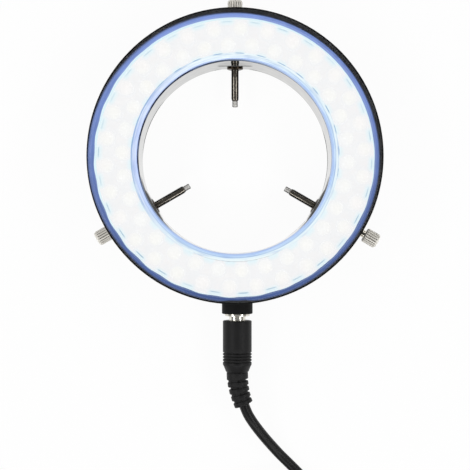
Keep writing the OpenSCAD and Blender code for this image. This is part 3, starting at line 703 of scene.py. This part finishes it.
FINISHES = {
    "housing": housing_finish(),
    "window": window_finish(),
    "sleeve": sleeve_finish(),
    "board": board_finish(),
    "lamps_out": lamp_finish("lamp_outer_lit", (0.975, 0.95, 0.93), (0.97, 0.96, 0.92)),
    "lamps_in": lamp_finish("lamp_inner_lit", (0.965, 0.96, 0.94), (0.975, 0.96, 0.92)),
    "bush": metal("bush_blackened", (0.014, 0.01, 0.007), (0.07, 0.048, 0.03), (0.16, 0.32))[0],
    "shaft": shaft_finish(),
    # The tip also gets painted shade on its sides and under side.
    "tip": metal_with_painted_side_shade("tip_dull_metal", (0.46, 0.45, 0.43), (0.7, 0.69, 0.66), (0.08, 0.075, 0.07),
                       (0.4, 0.55), (0.5, 0.85), metallic=0.5)[0],
    "knob": knob_finish(),
    "resistor": plastic("resistor_black", (0.02, 0.02, 0.022), (0.035, 0.035, 0.037), (0.4, 0.6))[0],
    "pillar": metal("pillar_brass", (0.5, 0.38, 0.16), (0.72, 0.56, 0.28), (0.25, 0.4))[0],
    "back_screw": metal("back_screw_black", (0.03, 0.03, 0.032), (0.07, 0.07, 0.072), (0.3, 0.45))[0],
    "bright": metal("plated_bright", (0.7, 0.67, 0.59), (0.9, 0.87, 0.79), (0.12, 0.26),
                    metallic=0.8)[0],
    "inner": plastic("inner_black", (0.01, 0.01, 0.011), (0.02, 0.02, 0.021), (0.4, 0.6))[0],
    "wire": plastic("wire_red", (0.2, 0.012, 0.01), (0.3, 0.022, 0.018), (0.35, 0.5))[0],
    "plug": plastic("plug_rubber", (0.0045, 0.0045, 0.005), (0.01, 0.01, 0.0105), (0.46, 0.62),
                    specular=0.26, grain=3800.0, depth=0.000014, dust=0.08)[0],
    "cord": plastic("cord_jacket", (0.002, 0.002, 0.0022), (0.004, 0.004, 0.0044), (0.36, 0.5),
                    specular=0.28, grain=2600.0, depth=0.000016, dust=0.08)[0],
    "tie": plastic("tie_black", (0.012, 0.012, 0.013), (0.03, 0.03, 0.031), (0.7, 0.9),
                   specular=0.3, grain=2200.0, depth=0.00008)[0],
    "end_shell": metal("end_shell_steel", (0.6, 0.61, 0.62), (0.72, 0.72, 0.72), (0.24, 0.36),
                       lines=3000.0, depth=0.0000004)[0],
    "tongue": plastic("tongue_white", (0.72, 0.72, 0.7), (0.82, 0.82, 0.8), (0.4, 0.55))[0],
    "contact": metal("contact_gold", (0.7, 0.48, 0.16), (0.88, 0.66, 0.28), (0.18, 0.3))[0],
}

CAD_FINISHES = {
    "housing": "housing", "window": "window", "circuit_board": "board",
    "lamps_outer": "lamps_out", "lamps_inner": "lamps_in", "resistors": "resistor",
    "board_pillars": "pillar", "back_screws": "back_screw", "socket_shell": "bright",
    "socket_insulator": "inner", "socket_pin": "bright", "feed_wires": "wire",
    "plug_barrel": "bright", "plug_insulator": "inner", "end_plug_shell": "end_shell",
    "end_plug_tongue": "tongue", "end_plug_contacts": "contact",
}


def dress(obj, finish):
    if not obj.material_slots:
        obj.data.materials.append(FINISHES[finish])
    for holder in obj.material_slots:
        holder.material = FINISHES[finish]


for node_name, finish_name in CAD_FINISHES.items():
    dress(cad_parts[node_name], finish_name)


# Mesh forms, in mm
def turned_form(profile, segments=40, shape=None):
    """A form turned about Z from points of height and radius; shape may change a point's radius."""
    verts, faces, rings = [], [], []
    for z, r in profile:
        if r == 0:
            rings.append([len(verts)])
            verts.append(Vector((0, 0, z)))
            continue
        rings.append(range(len(verts), len(verts) + segments))
        for k in range(segments):
            a = TAU * k / segments
            verts.append(polar(shape(z, r, a) if shape else r, a, z))
    for low, high in zip(rings, rings[1:]):
        for k in range(segments):
            n = (k + 1) % segments
            if len(low) == 1:
                faces.append((low[0], high[n], high[k]))
            elif len(high) == 1:
                faces.append((low[k], low[n], high[0]))
            else:
                faces.append((low[k], low[n], high[n], high[k]))
    return verts, faces


def swept_form(sections, closed=False):
    """A form through rings of the same count of points; open ends are capped."""
    count = len(sections[0])
    verts = [p for ring in sections for p in ring]
    faces = []
    last = len(sections) if closed else len(sections) - 1
    for i in range(last):
        a, b = i * count, ((i + 1) % len(sections)) * count
        for k in range(count):
            n = (k + 1) % count
            faces.append((a + k, a + n, b + n, b + k))
    if not closed:
        faces.append(tuple(reversed(range(count))))
        faces.append(tuple(range((len(sections) - 1) * count, len(sections) * count)))
    return verts, faces


def joined(*forms):
    verts, faces = [], []
    for more_verts, more_faces in forms:
        start = len(verts)
        verts += more_verts
        faces += [tuple(i + start for i in face) for face in more_faces]
    return verts, faces


def closed_mesh(name, form, scale):
    """A mesh of a form, with its faces turned outwards."""
    mesh = bpy.data.meshes.new(name)
    mesh.from_pydata([v * scale for v in form[0]], [], form[1])
    mesh.validate()
    shell = bmesh.new()
    shell.from_mesh(mesh)
    bmesh.ops.recalc_face_normals(shell, faces=shell.faces)
    shell.to_mesh(mesh)
    shell.free()
    return mesh


def drilled(form, drill, places):
    """A form with the drill's form taken out of it at each place."""
    blank = new_object("blank", closed_mesh("blank", form, 1))
    drills = []
    for at in places:
        tool = new_object("drill", closed_mesh("drill", drill, 1))
        tool.matrix_world = at
        cut = blank.modifiers.new("hole", "BOOLEAN")
        cut.operation = "DIFFERENCE"
        cut.solver = "EXACT"
        cut.object = tool
        drills.append(tool)
    made = blank.evaluated_get(bpy.context.evaluated_depsgraph_get()).to_mesh()
    result = [v.co.copy() for v in made.vertices], [tuple(p.vertices) for p in made.polygons]
    for spent in (blank, *drills):
        bpy.data.objects.remove(spent)
    return result


def make_piece(name, form, finish, body, nodes, at=None, crease=40):
    """A piece from a form in mm, set in place, smooth but for its creases, on its body."""
    mesh = closed_mesh(name, form, MM)
    mesh.shade_smooth()
    mesh.set_sharp_from_angle(angle=radians(crease))
    obj = new_object(name, mesh)
    if at is not None:
        placed = at.copy()
        placed.translation *= MM
        obj.matrix_world = placed
    dress(obj, finish)
    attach(obj, body)
    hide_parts(*nodes)


def fillet(z, r, size, side, steps=4):
    """A round edge between a flat end at height z and radius r; side is 1 where the form lies above z."""
    turn = [pi / 2 * k / steps for k in range(steps + 1)]
    points = [(z + side * size * (1 - cos(t)), r - size * (1 - sin(t))) for t in turn]
    return points if side > 0 else points[::-1]


# Clamp screws: local Z runs outwards along the screw from the tip's end
def tip_reach(knob_gap):
    """Radius at which a screw's tip ends."""
    return RING_R + knob_gap + KNOB_LEN - SCREW_LEN


def screw_matrix(angle, knob_gap):
    out, side = ways(radians(angle))
    return set_along(side, (0, 0, 1), out, out * tip_reach(knob_gap) + Vector((0, 0, SCREW_Z)))


TIP_R = 0.9
TIP_LEN = 1.95
RUN_GAP = 0.05
THREAD_DEPTH = 0.12
CREST_HALF = 0.14
ROOT_HALF = 0.215
THREAD_SEGMENTS = 24
THREAD_END = 28.0
RUN_OUT_STEPS = 16
RIDGE_SUNK = 0.03
RIDGE_LEAST = 0.02


def thread_ridge(start, end):
    """One helical ridge, tapered into the core at both ends."""
    steps = round((end - start) / THREAD_PITCH * THREAD_SEGMENTS)
    core = SHAFT_R - THREAD_DEPTH - RIDGE_SUNK
    sections = []
    for i in range(steps + 1):
        a = TAU * i / THREAD_SEGMENTS
        z = start + (end - start) * i / steps
        grow = min(1, i / RUN_OUT_STEPS, (steps - i) / RUN_OUT_STEPS)
        crest = core + RIDGE_LEAST + (SHAFT_R - core - RIDGE_LEAST) * grow
        ring = [(core, -ROOT_HALF), (crest, -CREST_HALF), (crest, CREST_HALF), (core, ROOT_HALF)]
        sections.append([polar(r, a, z + dz) for r, dz in ring])
    return swept_form(sections)


def shaft_form():
    foot = TIP_LEN + RUN_GAP
    core = SHAFT_R - THREAD_DEPTH
    end = SCREW_LEN - 1
    profile = [(foot, 0), *fillet(foot, core - 0.1, 0.2, 1), (foot + 0.3, core), (THREAD_END, core),
               (THREAD_END + 0.25, SHAFT_R), (end, SHAFT_R), (end, 0)]
    return joined(turned_form(profile), thread_ridge(foot + 0.45, THREAD_END))


def tip_form():
    profile = [(0, 0), (0, TIP_R - 0.3), *fillet(0, TIP_R, 0.25, 1)[1:], (0.9, TIP_R),
               (1.0, TIP_R - 0.06), (1.12, TIP_R - 0.06), (1.22, TIP_R), (TIP_LEN - 0.1, TIP_R),
               (TIP_LEN, TIP_R - 0.1), (TIP_LEN, 0)]
    return turned_form(profile)


KNURLS = 18
KNURL_DEPTH = 0.25
KNURL_STEPS = 20
KNURL_CREST = 0.58
KNURL_FLANK = 0.27
GRIP_FROM = 0.15
GRIP_TO = 4.35


def knurled(z, r, a):
    """Radius of the knob with straight rounded ridges, run out at both ends of the grip."""
    wave = (a / TAU * KNURLS) % 1
    groove = smooth_step((abs(2 * wave - 1) - KNURL_CREST) / KNURL_FLANK)
    run_out = min(1, max(0, (z - GRIP_FROM) / 0.25)) * min(1, max(0, (GRIP_TO - z) / 0.3))
    return r - KNURL_DEPTH * run_out * groove


def knob_form():
    inside = SHAFT_R + RUN_GAP
    profile = [(4.0, 0), (4.0, inside), (0, inside), (0, KNOB_R - 0.55),
               *fillet(0, KNOB_R - 0.1, 0.3, 1)[1:]]
    grip = [(z, KNOB_R) for z in (0.42, 0.7, 1.6, 2.6, 3.6, 4.05)]
    crown = fillet(KNOB_LEN, KNOB_R - 0.04, 0.75, -1, 7)
    dimple = [(KNOB_LEN, 1.25), (KNOB_LEN - 0.06, 1.1), (KNOB_LEN - 0.22, 0.55), (KNOB_LEN - 0.26, 0)]
    return turned_form(profile + grip + crown + dimple, KNURLS * KNURL_STEPS, knurled)


BUSH_R = 2.0
FLANGE_R = 2.7
FLANGES = {"top": 0.75, "left": 0.35, "right": 0.35}
BUSH_END = 34.9
BUSH_SEGMENTS = 64


def bush_form(flange_t):
    """Flanged bush: local Z runs outwards from the flange's face."""
    bore = SHAFT_R + RUN_GAP
    end = BUSH_END - PAD_R + flange_t
    profile = [(0.25, bore), (0, bore + 0.22), (0, FLANGE_R - 0.9), (0.05, FLANGE_R - 0.55),
               (0.16, FLANGE_R - 0.2), (0.32, FLANGE_R), (flange_t, FLANGE_R), (flange_t, BUSH_R),
               (end, BUSH_R), (end, bore), (0.25, bore)]
    return turned_form(profile, BUSH_SEGMENTS)


for side_name, (screw_angle, knob_gap) in SCREWS.items():
    on_axis = screw_matrix(screw_angle, knob_gap)
    at_knob = on_axis @ Matrix.Translation((0, 0, SCREW_LEN - KNOB_LEN))
    bush_start = PAD_R - FLANGES[side_name] - tip_reach(knob_gap)
    at_bush = on_axis @ Matrix.Translation((0, 0, bush_start))
    make_piece(f"thread_{side_name}", shaft_form(), "shaft", f"screw_{side_name}",
               [f"shaft_{side_name}"], on_axis, crease=30)
    make_piece(f"press_tip_{side_name}", tip_form(), "tip", f"tip_{side_name}",
               [f"tip_{side_name}"], on_axis, crease=30)
    make_piece(f"grip_knob_{side_name}", knob_form(), "knob", f"screw_{side_name}",
               [f"knob_{side_name}"], at_knob, crease=38)
    make_piece(f"collar_{side_name}", bush_form(FLANGES[side_name]), "bush", "ring",
               [f"bush_{side_name}"], at_bush, crease=30)


# Sleeve: its flat pads run out smoothly into the bore above the bushes
PAD_FOOT = 0.4
PAD_HALF = 0.3
PAD_RUN_OUT = SLEEVE_TOP - 1.2
DRILL_FROM = 11
DRILL_TO = 20


def lining_reach(angle, z):
    """Radius of the sleeve's inner face."""
    off = min(abs((angle - radians(a) + pi) % TAU - pi) for a, _ in SCREWS.values())
    sunk = max(0, SLEEVE_R - PAD_R / cos(min(off, PAD_HALF)))
    above = 1 - smooth_step((z - PAD_HIGH) / (PAD_RUN_OUT - PAD_HIGH))
    below = smooth_step((z - PAD_FOOT) / (PAD_LOW - PAD_FOOT))
    return SLEEVE_R - sunk * min(above, below)


def lining_form(segments=720, blend_rows=9):
    rise = [PAD_HIGH + (PAD_RUN_OUT - PAD_HIGH) * k / blend_rows for k in range(blend_rows + 1)]
    heights = [0.2, PAD_FOOT, 0.8, 1.25, 1.7, PAD_LOW, 4.0, 6.0, *rise, SLEEVE_TOP - 0.15]
    edge = [(SLEEVE_R + 0.15, SLEEVE_TOP), (SLEEVE_OUT_R, SLEEVE_TOP), (SLEEVE_OUT_R, 0),
            (SLEEVE_R + 0.2, 0)]
    sections = []
    for k in range(segments):
        a = TAU * k / segments
        inner = [(lining_reach(a, z), z) for z in heights]
        sections.append([polar(r, a, z) for r, z in inner + edge])
    return swept_form(sections, closed=True)


bush_drill = turned_form([(DRILL_FROM, 0), (DRILL_FROM, BUSH_R), (DRILL_TO, BUSH_R), (DRILL_TO, 0)],
                         BUSH_SEGMENTS)
lining = drilled(lining_form(), bush_drill, [screw_matrix(*screw) for screw in SCREWS.values()])
make_piece("sleeve_lining", lining, "sleeve", "ring", ["sleeve"], crease=30)


# Plug: local Z runs from the plug's face towards -Y
PLUG_MATRIX = set_along((1, 0, 0), (0, 0, 1), (0, -1, 0), (SOCKET_X, -PLUG_FACE, SOCKET_Z))
TAPER_AT = PLUG_LEN - 2.4
GROOVES = 4
GROOVE_PITCH = 0.97
GROOVE_DEPTH = 0.35
SEAM_HALF = 0.03
SEAM_PROUD = 0.03
PLUG_SEGMENTS = 96


def with_seam(z, r, a):
    """A fine moulding line along both sides of the plug."""
    off = abs((a + pi / 2) % pi - pi / 2)
    return r + (SEAM_PROUD if off < SEAM_HALF and r > BARREL_R + 2 * RUN_GAP else 0)


def plug_form():
    hole = BARREL_R + RUN_GAP
    profile = [(4, 0), (4, hole), (0, hole), (0, PLUG_R - 1.2), *fillet(0, PLUG_R, 0.3, 1)]
    profile += [(3.0, PLUG_R), (6.0, PLUG_R), (9.0, PLUG_R)]
    for i in range(GROOVES):
        mid = TAPER_AT - 1.2 - (GROOVES - 1 - i) * GROOVE_PITCH
        profile += [(mid + dz, PLUG_R - sunk) for dz, sunk in (
            (-0.3, 0), (-0.22, 0.04), (-0.12, GROOVE_DEPTH), (0.12, GROOVE_DEPTH), (0.22, 0.04), (0.3, 0))]
    profile += [(TAPER_AT - 0.25, PLUG_R), (TAPER_AT + 0.05, PLUG_R - 0.08),
                (TAPER_AT + 0.4, PLUG_R - 0.32), (PLUG_LEN - 0.3, RELIEF_R + 0.22),
                (PLUG_LEN, RELIEF_R - 0.1), (PLUG_LEN, 0)]
    return turned_form(profile, PLUG_SEGMENTS, with_seam)


make_piece("plug_grip", plug_form(), "plug", "lead", ["plug_body"], PLUG_MATRIX)


# Strain relief: its own axis bends on an arc
RIB_EDGE = 0.25
WEB_LAP = 0.3
WEB_INSET = 0.35


def on_bend(bend, sideways, up):
    """A point beside the relief's bent axis, seen from the end of the plug."""
    centre = Vector((SOCKET_X + RELIEF_BEND_R, -PLUG_FACE - PLUG_LEN, SOCKET_Z))
    reach = RELIEF_BEND_R - sideways
    return centre + Vector((-reach * cos(bend), -reach * sin(bend), up))


def bent_form(profile, segments=40):
    """A form turned about the bent axis, from points of bend and radius."""
    form = turned_form([(b * RELIEF_BEND_R, r) for b, r in profile], segments)
    return [on_bend(v.z / RELIEF_BEND_R, v.x, v.y) for v in form[0]], form[1]


def web_form(start, end, r, side):
    """A half-round web between two ribs, on one side of the bend."""
    steps, rows = 10, 3
    turn = [pi * (k / steps - 0.5) for k in range(steps + 1)]
    flat = [(side * r * cos(t), r * sin(t)) for t in turn]
    if side < 0:
        flat.reverse()
    rings = [[on_bend(start + (end - start) * i / rows, x, y) for x, y in flat] for i in range(rows + 1)]
    return swept_form(rings)


def relief_form():
    """A collar and ribs along the bent axis, with webs that leave the slots open on alternate sides."""
    edge = RIB_EDGE / RELIEF_BEND_R
    profile = [(0, 0)]
    webs = []
    for i in range(RELIEF_RIBS + 1):
        r = RELIEF_R + (RELIEF_END_R - RELIEF_R) * i / RELIEF_RIBS
        from_collar = RELIEF_COLLAR + i * RIB_SLOT + (i - 1) * RIB_LEN
        start = (from_collar if i else 0) / RELIEF_BEND_R
        end = start + (RIB_LEN if i else RELIEF_COLLAR) / RELIEF_BEND_R
        profile += [(start, RELIEF_CORE_R), (start, r - RIB_EDGE),
                    (start + edge * 0.3, r - RIB_EDGE * 0.3), (start + edge, r), (end - edge, r),
                    (end - edge * 0.3, r - RIB_EDGE * 0.3), (end, r - RIB_EDGE), (end, RELIEF_CORE_R)]
        if i:
            lap = WEB_LAP / RELIEF_BEND_R
            webs.append(web_form(start - RIB_SLOT / RELIEF_BEND_R - lap, start + lap, r - WEB_INSET,
                                 -1 if i % 2 else 1))
    profile[-1] = (RELIEF_BEND, CORD_D / 2 + 0.05)
    profile += [(RELIEF_BEND - edge, CORD_D / 2), (RELIEF_BEND - edge, 0)]
    return joined(bent_form(profile), *webs)


make_piece("plug_relief", relief_form(), "plug", "lead", ["strain_relief"])


# Band round the coil: a strap of hook tape with a lapped end
TIE_ANGLE = radians(157.5)
TIE_W = 6.0
TIE_T = 0.8
TIE_GAP = 0.2
TIE_CORNER = 1.6
TURNS_TO_TIE = 0.6875
LAP_FROM = 2.5
LAP_LEN = 9.0
LAP_T = 0.7
LAP_W = TIE_W * 0.9
LAP_SUNK = 0.1
LAP_WIDTHS = [0.9, 0.98, 1, 1, 1, 1, 0.96, 0.82, 0.5]
TIE_IN = sqrt((COIL_R_IN + COIL_PITCH / 2 - CORD_D / 2) ** 2 - TIE_W ** 2 / 4) - TIE_GAP
TIE_OUT = COIL_R_IN + COIL_PITCH * (COIL_TURNS - TURNS_TO_TIE) + CORD_D / 2 + TIE_GAP
TIE_HIGH = LAYER_STEP + CORD_D + 2 * TIE_GAP + 2 * TIE_T


def band_point(across, height, along):
    out, side = ways(TIE_ANGLE)
    return COIL_AT + out * across + side * along + Vector((0, 0, height))


def rounded(left, low, right, high, corner, steps=6):
    """Points and outward ways round a rectangle with round corners."""
    left, low, right, high = left + corner, low + corner, right - corner, high - corner
    loop = []
    for start, (x, y) in enumerate(((right, high), (left, high), (left, low), (right, low))):
        for k in range(steps + 1):
            a = pi / 2 * (start + k / steps)
            loop.append((x + corner * cos(a), y + corner * sin(a), cos(a), sin(a)))
    return loop


def band_section(x, z, out_x, out_z, thick, wide):
    """The strap's cross-section: thin, with round edges."""
    half, r = wide / 2, thick / 2
    turn = [pi * k / 6 for k in range(7)]
    edge = [(half - r + r * sin(t), r * cos(t)) for t in turn]
    edge += [(-w, -t) for w, t in edge]
    return [band_point(x + out_x * t, z + out_z * t, w) for w, t in edge]


def tie_form():
    half = TIE_T / 2
    middle = rounded(TIE_IN - half, half, TIE_OUT + half, TIE_HIGH - half, TIE_CORNER - half)
    strap = swept_form([band_section(*p, TIE_T, TIE_W) for p in middle], closed=True)
    step = LAP_LEN / (len(LAP_WIDTHS) - 1)
    flap = swept_form([band_section(TIE_OUT - LAP_FROM - step * k, TIE_HIGH - LAP_SUNK, 0, 1, LAP_T,
                                    LAP_W * w) for k, w in enumerate(LAP_WIDTHS)])
    return joined(strap, flap)


make_piece("coil_band", tie_form(), "tie", "lead", ["cord_tie"])


# Far plug: local Z runs along -X from the back of its relief
FAR_MATRIX = set_along((0, -1, 0), (0, 0, 1), (-1, 0, 0), (END_PLUG_X, END_PLUG_Y, END_PLUG_Z))
FAR_RELIEF_LEN = 8.0
FAR_BODY_LEN = 20.0
FAR_W = 15.6
FAR_H = 8.0
FAR_CORNER = 2.2
FAR_BACK_ROUND = 1.2
FAR_FRONT_ROUND = 0.8
FAR_GROOVES = 4
FAR_RIBS = 4
SHELL_SEAT = (12.1, 4.6, 0.7)
SHELL_SEAT_DEEP = 3


def far_relief_form():
    profile = [(0, 0), (0, CORD_D / 2), (0.05, CORD_D / 2 + 0.3), (0.4, CORD_D / 2 + 0.5)]
    for i in range(FAR_RIBS):
        z = 1.0 + 1.6 * i
        r = 2.35 + 0.2 * i
        profile += [(z, r), (z + 0.15, r - 0.3), (z + 0.5, r - 0.3), (z + 0.65, r + 0.06)]
    profile += [(FAR_RELIEF_LEN, 3.2), (FAR_RELIEF_LEN, 0)]
    return turned_form(profile)


def round_section(z, wide, high, corner):
    """A rectangle with round corners, at height z."""
    loop = rounded(-wide / 2, -high / 2, wide / 2, high / 2, corner)
    return [Vector((x, y, z)) for x, y, _, _ in loop]


def far_body_form():
    """The far plug's body: round ends, grip grooves, and a seat for the metal shell."""
    end = FAR_RELIEF_LEN + FAR_BODY_LEN
    turn = [pi / 2 * k / 5 for k in range(6)]
    back = [(FAR_RELIEF_LEN + FAR_BACK_ROUND * (1 - cos(t)), FAR_BACK_ROUND * (1 - sin(t)), 0.6)
            for t in turn]
    grooves = [(FAR_RELIEF_LEN + 4.0 + 1.5 * i + dz, inset, 0) for i in range(FAR_GROOVES)
               for dz, inset in ((-0.35, 0), (-0.2, 0.3), (0.2, 0.3), (0.35, 0))]
    front = [(end - FAR_FRONT_ROUND * (1 - sin(t)), FAR_FRONT_ROUND * (1 - cos(t)), 0.6)
             for t in turn]
    rings = [round_section(z, FAR_W - 2 * inset, FAR_H - 2 * inset, FAR_CORNER - inset * sharper)
             for z, inset, sharper in back + grooves + front]
    rings += [round_section(z, *SHELL_SEAT) for z in (end, end - SHELL_SEAT_DEEP)]
    return swept_form(rings)


make_piece("far_relief", far_relief_form(), "plug", "lead", ["end_plug_relief"],
           FAR_MATRIX)
make_piece("far_grip", far_body_form(), "plug", "lead", ["end_plug_body"],
           FAR_MATRIX)


# The cord: its finish and body, with the imported cord pieces hidden
dress(lead_cord, "cord")
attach(lead_cord, "lead")
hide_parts("cord", "cord_coil", "cord_tail")


# Studio: pale floor, soft level light
FLOOR_WHITE = 0.95
FLOOR_HALF = 3.0
FLOOR_DROP = 0.0001
AIR_LIGHT = 0.2


def make_floor():
    finish, tree, shader = new_finish("studio_floor")
    out = next(n for n in tree.nodes if n.type == "OUTPUT_MATERIAL")
    set_shader(tree, shader, Base_Color=(FLOOR_WHITE, FLOOR_WHITE, FLOOR_WHITE, 1), Roughness=0.9,
               Specular_IOR_Level=0.1)
    glow = tree.nodes.new("ShaderNodeEmission")
    rays = tree.nodes.new("ShaderNodeLightPath")
    seen = largest(tree, *[rays.outputs[f"Is {ray} Ray"] for ray in ("Camera", "Glossy", "Transmission")])
    mix = tree.nodes.new("ShaderNodeMixShader")
    tree.links.new(times(tree, seen, FLOOR_WHITE), mix.inputs[0])
    tree.links.new(shader.outputs[0], mix.inputs[1])
    tree.links.new(glow.outputs[0], mix.inputs[2])
    tree.links.new(mix.outputs[0], out.inputs["Surface"])
    mesh = bpy.data.meshes.new("studio_floor")
    corners = [(x * FLOOR_HALF, y * FLOOR_HALF, 0) for x, y in ((-1, -1), (1, -1), (1, 1), (-1, 1))]
    mesh.from_pydata(corners, [], [(0, 1, 2, 3)])
    mesh.materials.append(finish)
    floor = new_object("studio_floor", mesh)
    floor.location.z = -FLOOR_DROP


def make_world():
    world = bpy.data.worlds.new("studio_air")
    world.use_nodes = True
    tree = world.node_tree
    tree.nodes.clear()
    back = tree.nodes.new("ShaderNodeBackground")
    rays = tree.nodes.new("ShaderNodeLightPath")
    back.inputs["Color"].default_value = (1, 1, 1, 1)
    strength = spread(tree, rays.outputs["Is Camera Ray"], 0.0, 1.0, AIR_LIGHT, 1.0)
    tree.links.new(strength, back.inputs["Strength"])
    out = tree.nodes.new("ShaderNodeOutputWorld")
    tree.links.new(back.outputs[0], out.inputs["Surface"])
    bpy.context.scene.world = world


def soft_box(name, at, towards, size, power):
    data = bpy.data.lights.new(name, "AREA")
    data.shape = "RECTANGLE"
    data.size, data.size_y = size
    data.energy = power
    lamp = new_object(name, data)
    lamp.location = at
    lamp.rotation_euler = (Vector(towards) - Vector(at)).to_track_quat("-Z", "Y").to_euler()


make_floor()
make_world()
RING_MIDDLE = (0, -0.03, 0)
soft_box("box_left", (-0.72, 0.0, 0.75), RING_MIDDLE, (0.9, 0.26), 3.4)
soft_box("box_right", (0.72, -0.05, 0.75), RING_MIDDLE, (0.9, 0.26), 3.4)
soft_box("box_back", (0.05, 0.9, 0.6), (0, 0, 0), (0.9, 0.15), 1.8)
soft_box("box_front", (0.0, -0.8, 0.75), RING_MIDDLE, (1.3, 0.18), 4.4)
bpy.context.scene.view_settings.view_transform = "Standard"
